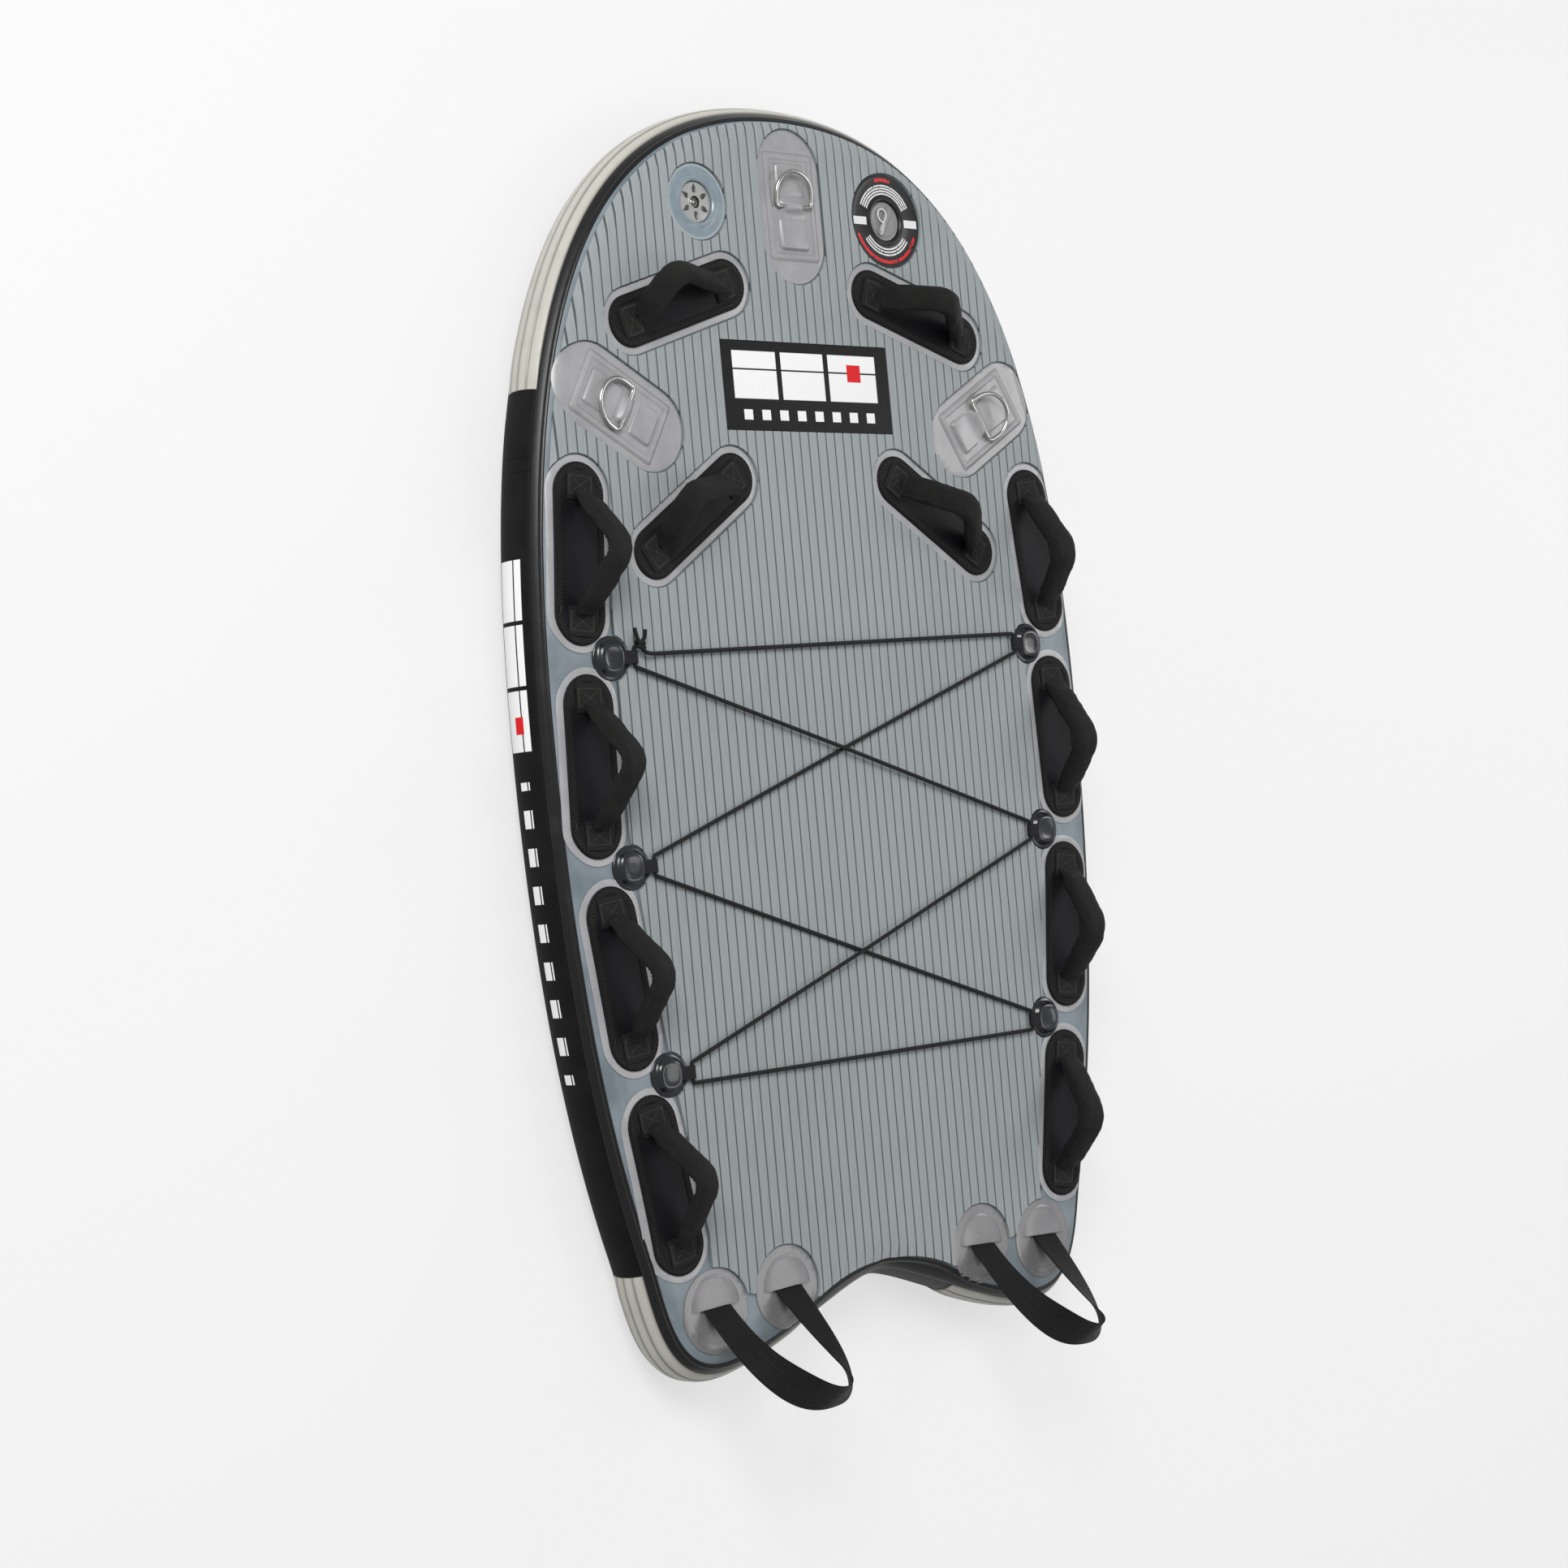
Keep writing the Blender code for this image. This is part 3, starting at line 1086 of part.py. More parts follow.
def pad_half():
    """The pad's outline down the right-hand side: along the rail, inboard of the handles, round the discs."""
    margin = SIDE_PAD_RADIUS + PATCH_BORDER + PAD_CUT
    line = []
    top_of_side = SIDE_HANDLES[0][0][1] * MM + margin
    for i in range(0, HALF_COUNT + 1):
        point, out = STATIONS[i]
        place = point - out * PAD_EDGE
        if place.y > top_of_side:
            line.append(place)
    for ends in SIDE_HANDLES:
        line += inboard_edge(ends, margin)
    line.append(Vector((DISC_OUTER[0], DISC_OUTER[1] + DISC_RADIUS * 0.5)))
    between = (DISC_OUTER[0] - DISC_RADIUS + DISC_INNER[0] + DISC_RADIUS) / 2
    line.append(Vector((between - 4 * MM, DISC_OUTER[1] + 13 * MM)))
    line.append(Vector((DISC_INNER[0], DISC_INNER[1] - 20 * MM)))
    notch = []
    for i in range(AT_STRAKE_END, HALF_COUNT + 1):
        point, out = STATIONS[i]
        place = point - out * PAD_EDGE
        if place.x < DISC_INNER[0] - DISC_RADIUS:
            notch.append(place)
    return line + notch


half_line = pad_half()
pad_outline = [(p.x, p.y) for p in half_line] + [(-p.x, p.y) for p in half_line[-2:0:-1]]
pad = prism("deck_pad", pad_outline, BELOW, ABOVE, PAD_FOAM)
combine(pad, pad_layer, "INTERSECT")
combine(pad, prisms("pad_cutter", patch_outlines, BELOW, ABOVE, PAD_FOAM), "DIFFERENCE")
anchor_gaps = []
for side in (1, -1):
    for spot in ANCHORS:
        anchor_gaps.append(circle(in_metres(spot, side), ANCHOR_RADIUS + PAD_CUT, ANCHOR_SIDES))
combine(pad, prisms("pad_anchor_cutter", anchor_gaps, BELOW, ABOVE, PAD_FOAM), "DIFFERENCE")
badge = box_outline(badge_middle, badge_size[0], badge_size[1], 0.0)
prism("badge_panel", badge, HULL_DEEP + GAP, HULL_DEEP + GAP + PAD_THICK, BADGE_FOAM)


def centre_the_sled():
    """Moves the datum so that the origin lies under the middle of everything."""
    bpy.context.view_layer.update()
    graph = bpy.context.evaluated_depsgraph_get()
    low, high = [], []
    for obj in scene_root.objects:
        if obj.hide_render or obj.type == "EMPTY":
            continue
        shape = obj.evaluated_get(graph)
        mesh = shape.to_mesh()
        spots = [shape.matrix_world @ v.co for v in mesh.vertices]
        low.append(min(p.y for p in spots))
        high.append(max(p.y for p in spots))
        shape.to_mesh_clear()
    datum.location.y = -(min(low) + max(high)) / 2


centre_the_sled()
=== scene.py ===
import math

import bmesh
import bpy
from mathutils import Matrix, Vector, kdtree, noise


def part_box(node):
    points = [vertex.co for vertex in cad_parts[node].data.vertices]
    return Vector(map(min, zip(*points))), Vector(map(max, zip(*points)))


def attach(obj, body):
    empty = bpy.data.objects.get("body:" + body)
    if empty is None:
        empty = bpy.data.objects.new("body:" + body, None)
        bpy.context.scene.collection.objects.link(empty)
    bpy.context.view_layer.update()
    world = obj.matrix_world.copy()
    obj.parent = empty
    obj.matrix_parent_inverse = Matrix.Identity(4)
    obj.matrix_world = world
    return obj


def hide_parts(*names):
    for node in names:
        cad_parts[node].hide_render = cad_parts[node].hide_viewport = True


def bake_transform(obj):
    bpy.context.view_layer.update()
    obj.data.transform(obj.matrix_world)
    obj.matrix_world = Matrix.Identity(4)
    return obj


# Looks for an inflatable rescue sled that lies on its bottom, nose towards +Y.
# Pieces are drawn with y = 0 at the middle pair of cord anchors and moved to the frame when they are settled.
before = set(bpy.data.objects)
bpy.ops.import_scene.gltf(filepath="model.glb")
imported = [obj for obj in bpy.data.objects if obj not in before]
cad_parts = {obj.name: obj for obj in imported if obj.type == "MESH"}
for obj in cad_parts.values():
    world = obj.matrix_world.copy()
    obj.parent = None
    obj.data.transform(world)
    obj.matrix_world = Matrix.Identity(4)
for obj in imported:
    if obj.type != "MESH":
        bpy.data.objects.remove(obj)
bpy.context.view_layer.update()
anchorLow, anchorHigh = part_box("cord_anchor_left_2")
rowY = (anchorLow.y + anchorHigh.y) / 2
mm = 0.001
toFrame = Matrix.Translation((0, rowY, 0)) @ Matrix.Scale(mm, 4)  # from the drawing to the frame


# Shader arithmetic
class Sock:  # one output of a node, with the usual operators
    def __init__(self, paint, socket):
        self.paint = paint
        self.socket = socket

    def math(self, operation, *others):
        return self.paint.node("Math", {"operation": operation}, self, *others)

    def __add__(self, other):
        return self.math("ADD", other)

    def __sub__(self, other):
        return self.math("SUBTRACT", other)

    def __rsub__(self, other):
        return self.paint.node("Math", {"operation": "SUBTRACT"}, other, self)

    def __mul__(self, other):
        return self.math("MULTIPLY", other)

    def __truediv__(self, other):
        return self.math("DIVIDE", other)

    def __gt__(self, other):
        return self.math("GREATER_THAN", other)

    def __lt__(self, other):
        return self.math("LESS_THAN", other)

    __radd__ = __add__
    __rmul__ = __mul__

    def wave(self, period, phase=0.0):  # 0 to 1 and back over each period
        return (self * (2 * math.pi / period) + phase).math("SINE") * 0.5 + 0.5

    def saw(self, period):  # distance from the middle of each repeat, 0 to 0.5
        return ((self / period).math("FRACT") - 0.5).math("ABSOLUTE")

    def step(self, low, high):  # 0 below low, 1 above high, smooth between
        return self.paint.node("MapRange", {"interpolation_type": "SMOOTHSTEP"}, self, low, high, 0.0, 1.0)

    def band(self, low, high, soft):  # 1 between low and high
        return self.step(low - soft, low + soft) * (1 - self.step(high - soft, high + soft))


class Paint:  # a Principled material and the nodes that feed it
    def __init__(self, name, colour, roughness, **fixed):
        self.material = bpy.data.materials.new(name)
        self.material.use_nodes = True
        self.tree = self.material.node_tree
        self.shader = self.tree.nodes["Principled BSDF"]
        self.shader.inputs["Base Color"].default_value = (*colour, 1)
        self.shader.inputs["Roughness"].default_value = roughness
        for label, value in fixed.items():
            self.shader.inputs[label.replace("_", " ")].default_value = value

    def node(self, kind, settings, *values, out=0, **named):
        made = self.tree.nodes.new("ShaderNode" + kind)
        for key, value in settings.items():
            setattr(made, key, value)
        for slot, value in [*enumerate(values), *named.items()]:
            target = made.inputs[slot] if isinstance(slot, int) else made.inputs[slot.replace("_", " ")]
            self.feed(target, value)
        return Sock(self, made.outputs[out])

    def feed(self, target, value):
        if isinstance(value, Sock):
            self.tree.links.new(value.socket, target)
        elif isinstance(value, tuple) and len(value) == 3 and target.type == "RGBA":
            target.default_value = (*value, 1)
        else:
            target.default_value = value

    def place(self):
        return self.node("TexCoord", {}, out="Object")

    def xyz(self):
        spot = self.place()
        return [self.node("SeparateXYZ", {}, spot, out=k) for k in range(3)]

    def uv(self):
        spot = self.node("UVMap", {"uv_map": "flow"})
        return [self.node("SeparateXYZ", {}, spot, out=k) for k in range(2)]

    def attribute(self, name):
        return self.node("Attribute", {"attribute_name": name}, out="Fac")

    def noise(self, scale, detail=2.0, spot=None):
        return self.node("TexNoise", {}, spot or self.place(), Scale=scale, Detail=detail, out="Fac")

    def mix(self, share, first, second):
        made = self.node("Mix", {"data_type": "RGBA"}, share, out=2)
        self.feed(made.socket.node.inputs[6], first)
        self.feed(made.socket.node.inputs[7], second)
        return made

    def stretched(self, factors):
        return self.node("VectorMath", {"operation": "MULTIPLY"}, self.place(), factors)

    def colour(self, value):
        self.feed(self.shader.inputs["Base Color"], value)

    def rough(self, value):
        self.feed(self.shader.inputs["Roughness"], value)

    def bump(self, height, depth):  # depth in metres of a height that runs from 0 to 1
        made = self.node("Bump", {}, Height=height, Distance=depth, Strength=1.0)
        self.feed(self.shader.inputs["Normal"], made)


# Shape helpers
hull = {"deep": 101.6, "bulge": 42.7, "bandRoom": 2.0, "tapeTop": 61, "tapeLow": 38, "samples": 220}
outlineSpots = {"nose": (0, 1105.5), "widest": (553.6, 196.3), "hip": (463.1, -549.2), "lobe": (325.1, -728.9),
                "notch": (0, -635.6), "hipHeading": -106.5}
pulls = {"nose": 495, "shoulder": 397.7, "waist": 395.8, "hipIn": 143.1, "hipOut": 67.1, "lobeIn": 111,
         "lobeOut": 99.5, "notch": 63.3}
gap = 0.3


def flatVector(x, y):
    return Vector((x, y, 0.0))


def placedAt(centre, heading, height=0.0):
    return Matrix.Translation((centre[0], centre[1], height)) @ Matrix.Rotation(heading, 4, "Z")


def smoothly(t):  # 0 to 1, level at both ends
    return t * t * (3 - 2 * t)


def bezierLine(a, b, c, d, steps):
    line = []
    for k in range(steps):
        t = k / steps
        s = 1 - t
        spot = a * s**3 + b * (3 * s * s * t) + c * (3 * s * t * t) + d * t**3
        way = (b - a) * (3 * s * s) + (c - b) * (6 * s * t) + (d - c) * (3 * t * t)
        line.append((spot, way.normalized()))
    return line


def halfOutline():  # places and headings down the right-hand side, nose to notch
    names = ("nose", "widest", "hip", "lobe", "notch")
    nose, widest, hip, lobe, notch = [flatVector(*outlineSpots[k]) for k in names]
    turn = math.radians(outlineSpots["hipHeading"])
    hipWay, across, down = flatVector(math.cos(turn), math.sin(turn)), flatVector(1, 0), flatVector(0, -1)
    steps = hull["samples"]
    line = bezierLine(nose, nose + across * pulls["nose"], widest - down * pulls["shoulder"], widest, steps)
    line += bezierLine(widest, widest + down * pulls["waist"], hip - hipWay * pulls["hipIn"], hip, steps)
    line += bezierLine(hip, hip + hipWay * pulls["hipOut"], lobe + across * pulls["lobeIn"], lobe, steps)
    line += bezierLine(lobe, lobe - across * pulls["lobeOut"], notch + across * pulls["notch"], notch, steps)
    return line + [(notch, -across)]


halfLine = halfOutline()
halfMarks = [0.0]  # length down the line, with tight turns counted longer
for (before, wayIn), (after, wayOut) in zip(halfLine, halfLine[1:]):
    halfMarks.append(halfMarks[-1] + (after - before).length + 120 * wayIn.angle(wayOut, 0.0))


def stationAt(mark):  # place and outward heading
    k = max(0, min(len(halfMarks) - 2, next((i for i, m in enumerate(halfMarks) if m >= mark), 1) - 1))
    share = (mark - halfMarks[k]) / (halfMarks[k + 1] - halfMarks[k])
    spot = halfLine[k][0].lerp(halfLine[k + 1][0], share)
    way = halfLine[k][1].lerp(halfLine[k + 1][1], share).normalized()
    return spot, flatVector(-way.y, way.x)


def markWhere(test):
    return halfMarks[next(i for i, (spot, way) in enumerate(halfLine) if test(i, spot))]


def stations(low, high, count):
    return [stationAt(low + (high - low) * k / count) for k in range(count + 1)]


bandFront = markWhere(lambda i, spot: spot.y <= 675)
bandBack = markWhere(lambda i, spot: spot.y <= -565)
strakeEnd = markWhere(lambda i, spot: i > 3 * hull["samples"] and spot.x <= 152)
noseStations = stations(0, bandFront, 50)
rightStations = noseStations + stations(bandFront, bandBack, 50)[1:] + stations(bandBack, halfMarks[-1], 70)[1:]
mirrorX = Matrix.Scale(-1, 3, (1, 0, 0))
allStations = rightStations + [(mirrorX @ spot, mirrorX @ out) for spot, out in rightStations[-2:0:-1]]
outlineTree = kdtree.KDTree(2 * len(halfLine))
outlineOut = []
for spot, way in halfLine:
    out = flatVector(-way.y, way.x)
    for turned in (Matrix.Identity(3), mirrorX):
        outlineTree.insert(turned @ spot, len(outlineOut))
        outlineOut.append(turned @ out)
outlineTree.balance()


def onWall(angle, lift):  # inset from the widest line and height, this far outside the hull
    half = hull["deep"] / 2
    nx, nz = math.cos(angle) / hull["bulge"], math.sin(angle) / half
    size = math.hypot(nx, nz)
    inset = hull["bandRoom"] + hull["bulge"] * (1 - math.cos(angle)) - lift * nx / size
    return inset, half + half * math.sin(angle) + lift * nz / size


def onDeck(x, y, lift):  # a place this far above the deck, which rolls over at the rail
    spot, index, far = outlineTree.find((x, y, 0))
    out = outlineOut[index]
    inset = (spot - flatVector(x, y)).dot(out)
    if inset >= hull["bandRoom"] + hull["bulge"]:
        return Vector((x, y, hull["deep"] + lift))
    cosine = max(0.0, min(0.97, 1 - (inset - hull["bandRoom"]) / hull["bulge"]))
    wallInset, height = onWall(math.acos(cosine), lift)
    moved = flatVector(x, y) + out * (inset - wallInset)
    return Vector((moved.x, moved.y, height))


def sweep(bm, sections, closedSection=True, closedPath=False, capped=True):
    # Extrudes a loop of edges from section to section. Each is a list of places, alike in number.
    corner = bm.verts.layers.int.get("corner") or bm.verts.layers.int.new("corner")
    run = bm.verts.layers.float.get("run") or bm.verts.layers.float.new("run")
    girth = bm.verts.layers.float.get("girth") or bm.verts.layers.float.new("girth")
    count = len(sections[0])
    widest = max(sections, key=lambda s: sum((Vector(a) - Vector(b)).length for a, b in zip(s, s[1:])))
    around = [0.0]
    for a, b in zip(widest, widest[1:]):
        around.append(around[-1] + (Vector(b) - Vector(a)).length)
    verts = [bm.verts.new(spot) for spot in sections[0]]
    for k, vert in enumerate(verts):
        vert[corner] = k
        vert[girth] = around[k]
    pairs = list(zip(verts, verts[1:])) + ([(verts[-1], verts[0])] if closedSection else [])
    edges = [bm.edges.new(pair) for pair in pairs]
    firstEdges, travelled = edges, 0.0
    middles = [sum((Vector(spot) for spot in s), Vector()) / count for s in sections]
    for i, section in enumerate(sections[1:], 1):
        made = bmesh.ops.extrude_edge_only(bm, edges=edges)["geom"]
        fresh = {item for item in made if isinstance(item, bmesh.types.BMVert)}
        edges = [item for item in made if isinstance(item, bmesh.types.BMEdge) and set(item.verts) <= fresh]
        stride = (middles[i] - middles[i - 1]).length
        travelled += stride or (Vector(section[0]) - Vector(sections[i - 1][0])).length
        for vert in fresh:
            vert.co = section[vert[corner]]
            vert[run] = travelled
    if closedPath:
        bmesh.ops.bridge_loops(bm, edges=firstEdges + edges)
    elif capped and closedSection:
        for ring in (firstEdges, edges):
            bmesh.ops.contextual_create(bm, geom=ring)
    return bm


def flowMap(bm):  # the piece's own map: along the sweep and round it, in metres
    run, girth = bm.verts.layers.float.get("run"), bm.verts.layers.float.get("girth")
    layer = bm.loops.layers.uv.new("flow")
    if not run:
        return
    totals = [max((v[key] for v in bm.verts), default=0) for key in (run, girth)]
    for face in bm.faces:
        for axis, key in enumerate((run, girth)):
            values = [loop.vert[key] for loop in face.loops]
            wraps = max(values) - min(values) > totals[axis] * 0.6 and len(face.verts) == 4
            for loop, value in zip(face.loops, values):
                loop[layer].uv[axis] = (value + (totals[axis] if wraps and value < totals[axis] / 2 else 0)) * mm


def settle(bm, name, paint, body="root", nodes=(), sharp=40, blendWith=None):
    # Finishes a piece: outward faces, its place in the frame, its material, its body.
    bmesh.ops.remove_doubles(bm, verts=bm.verts, dist=0.001)
    bmesh.ops.recalc_face_normals(bm, faces=bm.faces)
    if not bm.loops.layers.uv.get("flow"):
        flowMap(bm)
    bmesh.ops.transform(bm, matrix=toFrame, verts=bm.verts)
    mesh = bpy.data.meshes.new(name)
    bm.to_mesh(mesh)
    bm.free()
    mesh.shade_smooth()
    mesh.set_sharp_from_angle(angle=math.radians(sharp))
    mesh.materials.append(paint.material)
    obj = bpy.data.objects.new(name, mesh)
    bpy.context.scene.collection.objects.link(obj)
    if blendWith:
        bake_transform(obj)
    else:
        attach(obj, body)
    if nodes:
        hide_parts(*nodes)
    return obj


def stadium(first, second, radius, steps=16):
    heading = math.atan2(second[1] - first[1], second[0] - first[0])
    line = []
    for centre, start in ((second, heading - math.pi / 2), (first, heading + math.pi / 2)):
        for k in range(steps + 1):
            angle = start + math.pi * k / steps
            line.append((centre[0] + radius * math.cos(angle), centre[1] + radius * math.sin(angle)))
    return line


def circle(centre, radius, sides=48):
    return [(centre[0] + radius * math.cos(2 * math.pi * k / sides),
             centre[1] + radius * math.sin(2 * math.pi * k / sides)) for k in range(sides)]


def roundBox(centre, along, across, heading, corner, steps=5):
    line = []
    ux, uy = math.cos(heading), math.sin(heading)
    for sx, sy, start in ((1, 1, 0), (-1, 1, 90), (-1, -1, 180), (1, -1, 270)):
        for k in range(steps + 1):
            angle = math.radians(start + 90 * k / steps)
            u = sx * (along / 2 - corner) + corner * math.cos(angle)
            v = sy * (across / 2 - corner) + corner * math.sin(angle)
            line.append((centre[0] + u * ux - v * uy, centre[1] + u * uy + v * ux))
    return line


def slab(bm, outline, low, high, edge=0.5, segments=2):
    # An upright plate over this outline, its upper edge rounded.
    face = bm.faces.new([bm.verts.new((x, y, low)) for x, y in outline])
    made = bmesh.ops.extrude_face_region(bm, geom=[face])["geom"]
    lifted = [v for v in made if isinstance(v, bmesh.types.BMVert)]
    bmesh.ops.translate(bm, vec=(0, 0, high - low), verts=lifted)
    top = next(f for f in made if isinstance(f, bmesh.types.BMFace))
    if edge:
        bmesh.ops.bevel(bm, geom=top.edges[:], offset=edge, segments=segments, profile=0.5,
                        affect="EDGES", material=-1)
    return bm


def gridCut(bm, step, axes=(0, 1)):
    # Cuts the mesh along even lines, so that it can bend over the rail.
    for axis in axes:
        low = min(v.co[axis] for v in bm.verts)
        high = max(v.co[axis] for v in bm.verts)
        normal = Vector((axis == 0, axis == 1, axis == 2))
        for k in range(1, int((high - low) / step) + 1):
            everything = bm.verts[:] + bm.edges[:] + bm.faces[:]
            place = normal * (low + k * step)
            bmesh.ops.bisect_plane(bm, geom=everything, dist=0.01, plane_co=place, plane_no=normal)


def drape(bm, cuts=9.0):
    # Lays a flat piece over the deck. Its z is how high it stands above what it lies on.
    if cuts and any((outlineTree.find((v.co.x, v.co.y, 0))[2] < 60) for v in bm.verts):
        gridCut(bm, cuts)
    for vert in bm.verts:
        vert.co = onDeck(vert.co.x, vert.co.y, vert.co.z + gap)
    return bm


def tube(bm, line, radius, sides, closed=False):
    # A round bar along these places; its section keeps level with the deck.
    sections = []
    up = Vector((0, 0, 1))
    angles = [2 * math.pi * j / sides for j in range(sides)]
    frameSide = None
    for k, spot in enumerate(line):
        before = line[k - 1] if k or closed else spot
        after = line[(k + 1) % len(line)] if k + 1 < len(line) or closed else spot
        way = (after - before).normalized()
        side = way.cross(up)
        if side.length < 0.2:
            side = frameSide or Vector((1, 0, 0))
        side = (side - way * side.dot(way)).normalized()
        if frameSide and side.dot(frameSide) < 0:
            side = -side
        frameSide = side
        rise = side.cross(way)
        sections.append([spot + side * (radius * math.cos(a)) + rise * (radius * math.sin(a)) for a in angles])
    return sweep(bm, sections, closedPath=closed)


def smoothLine(spots, steps):  # a Catmull-Rom curve through these places
    spots = [Vector(s) for s in spots]
    spots = [spots[0] * 2 - spots[1]] + spots + [spots[-1] * 2 - spots[-2]]
    line = []
    for a, b, c, d in zip(spots, spots[1:], spots[2:], spots[3:]):
        for k in range(steps):
            t = k / steps
            line.append((b * 2 + (c - a) * t + (a * 2 - b * 5 + c * 4 - d) * t * t
                         + (b * 3 - a - c * 3 + d) * t**3) / 2)
    return line + [spots[-2]]


def spinRound(bm, profile, centre, sides=64):
    # A turned body about an upright line, from (radius, height) pairs.
    verts = [bm.verts.new((centre[0] + r, centre[1], z)) for r, z in profile]
    edges = [bm.edges.new(pair) for pair in zip(verts, verts[1:])]
    bmesh.ops.spin(bm, geom=verts + edges, cent=(*centre, 0), axis=(0, 0, 1), angle=2 * math.pi, steps=sides,
                   use_merge=True)
    bmesh.ops.remove_doubles(bm, verts=bm.verts, dist=0.002)
    return bm


print("helpers ready")

# Camera, as the photograph looks at the sled, in millimetres about the middle cord anchors
camera = {"place": (-3239.6, 21.5, 3377.4), "right": (0.7325, -0.0904, 0.6748),
          "down": (-0.0547, -0.9958, -0.0739), "forward": (0.6786, 0.0172, -0.7343),
          "lens": 72.66, "sensor": 36.0, "originHigh": 103.1}
lens = bpy.data.cameras.new("camera")
lens.lens = camera["lens"]
lens.sensor_width = lens.sensor_height = camera["sensor"]
lens.clip_end = 200
cameraObject = bpy.data.objects.new("camera", lens)
turn = Matrix((camera["right"], [-v for v in camera["down"]], [-v for v in camera["forward"]])).transposed()
spot = Vector(camera["place"]) * mm + Vector((0, rowY, camera["originHigh"] * mm))
cameraObject.matrix_world = Matrix.Translation(spot) @ turn.to_4x4()
bpy.context.scene.collection.objects.link(cameraObject)
bpy.context.scene.camera = cameraObject
bpy.context.scene.view_settings.view_transform = "Standard"

# Light and floor
light = {"world": 0.41, "floor": (0.80, 0.80, 0.80), "floorGlow": 0.68, "glow": (0.925, 0.925, 0.925),
         "lamps": {"key": ((-3.5, 3.0, 4.1), 300, 3.0), "fill": ((2.0, -1.2, 3.4), 26, 2.0),
                   "rim": ((3.2, 0.8, 2.0), 22, 1.4)}}
world = bpy.data.worlds.new("world")
world.use_nodes = True
bpy.context.scene.world = world
back = world.node_tree.nodes["Background"]
back.inputs["Color"].default_value = (0.99, 0.995, 1.0, 1)
back.inputs["Strength"].default_value = light["world"]
skyNodes = world.node_tree.nodes
seenBack = skyNodes.new("ShaderNodeBackground")
pathNode = skyNodes.new("ShaderNodeLightPath")
skyMix = skyNodes.new("ShaderNodeMixShader")
seenBack.inputs["Color"].default_value = (*light["glow"], 1)
for source, target in ((pathNode.outputs["Is Camera Ray"], skyMix.inputs[0]),
                       (back.outputs[0], skyMix.inputs[1]), (seenBack.outputs[0], skyMix.inputs[2]),
                       (skyMix.outputs[0], skyNodes["World Output"].inputs["Surface"])):
    world.node_tree.links.new(source, target)


def lamp(name, place, target, watts, size):
    data = bpy.data.lights.new(name, "AREA")
    data.energy = watts
    data.shape = "DISK"
    data.size = size
    obj = bpy.data.objects.new(name, data)
    obj.location = place
    obj.rotation_euler = (Vector(target) - Vector(place)).to_track_quat("-Z", "Y").to_euler()
    bpy.context.scene.collection.objects.link(obj)


for name, (place, watts, size) in light["lamps"].items():
    lamp(name, place, (0, 0, 0), watts, size)

floorPaint = Paint("studioFloor", light["floor"], 0.85)
floorPaint.rough(floorPaint.noise(3.0) * 0.05 + 0.82)
glow = floorPaint.tree.nodes.new("ShaderNodeEmission")  # seen by the camera alone, so it lights nothing
glow.inputs["Color"].default_value = (*light["glow"], 1)
both = floorPaint.tree.nodes.new("ShaderNodeMixShader")
floorPaint.feed(both.inputs[0], floorPaint.node("LightPath", {}) * light["floorGlow"])
for slot, shader in ((1, floorPaint.shader), (2, glow)):
    floorPaint.tree.links.new(shader.outputs[0], both.inputs[slot])
floorPaint.tree.links.new(both.outputs[0], floorPaint.tree.nodes["Material Output"].inputs["Surface"])
floorBm = bmesh.new()
bmesh.ops.create_grid(floorBm, x_segments=1, y_segments=1, size=90)
floorMesh = bpy.data.meshes.new("studio_floor")
floorBm.to_mesh(floorMesh)
floorBm.free()
floorMesh.materials.append(floorPaint.material)
floor = bpy.data.objects.new("studio_floor", floorMesh)
bpy.context.scene.collection.objects.link(floor)
print("camera, light and floor ready")


# Finishes
def clothBump(paint, u, v, pitch, depth):
    # Plain weave: threads over and under by turns.
    return paint.bump(u.wave(pitch) * v.wave(pitch) + (1 - u.wave(pitch)) * (1 - v.wave(pitch)), depth)


def deckPvc():
    paint = Paint("deckPvc", (0.17, 0.21, 0.24), 0.42, Coat_Weight=0.08)
    x, y, z = paint.xyz()
    dust = paint.noise(14, 4)
    paint.colour(paint.mix(dust.step(0.35, 0.7), (0.13, 0.165, 0.185), (0.20, 0.245, 0.272)))
    paint.rough(dust * 0.2 + 0.34)
    clothBump(paint, x, y, 0.0024, 0.00012)
    return paint


def wallPvc():
    paint = Paint("wallPvc", (0.022, 0.022, 0.024), 0.45, Specular_IOR_Level=0.3)
    x, y, z = paint.xyz()
    patch = paint.noise(30, 4)
    paint.colour(paint.mix(patch.step(0.3, 0.75), (0.015, 0.015, 0.017), (0.032, 0.032, 0.034)))
    paint.rough(patch * 0.2 + 0.36)
    clothBump(paint, x + y, x - y, 0.0024, 0.0001)
    return paint


def railPvc():
    paint = Paint("railPvc", (0.0084, 0.0084, 0.0096), 0.34, Specular_IOR_Level=0.35,
                  Coat_Weight=0.05, Coat_Roughness=0.3)
    wear = paint.noise(60, 5)
    scuff = paint.noise(9, 3).step(0.55, 0.75)
    paint.colour(paint.mix(scuff * wear, (0.0066, 0.0066, 0.0075), (0.021, 0.0216, 0.024)))
    paint.rough(wear * 0.16 + scuff * 0.10 + 0.24)
    paint.bump(paint.noise(420, 3) * 0.4 + paint.noise(24, 3) * 0.6, 0.0004)
    return paint


printColour = {"white": (0.80, 0.80, 0.80), "red": (0.62, 0.012, 0.016)}
bandPrint = {"blocks": ((352, 436), (262, 346), (172, 256)), "high": (24, 70), "line": (56, 58.5),
             "red": (196, 220), "redHigh": (43, 60), "dashes": (-290, 130), "dashPitch": 52.5,
             "dashHigh": (42, 61), "seams": (576, 556)}


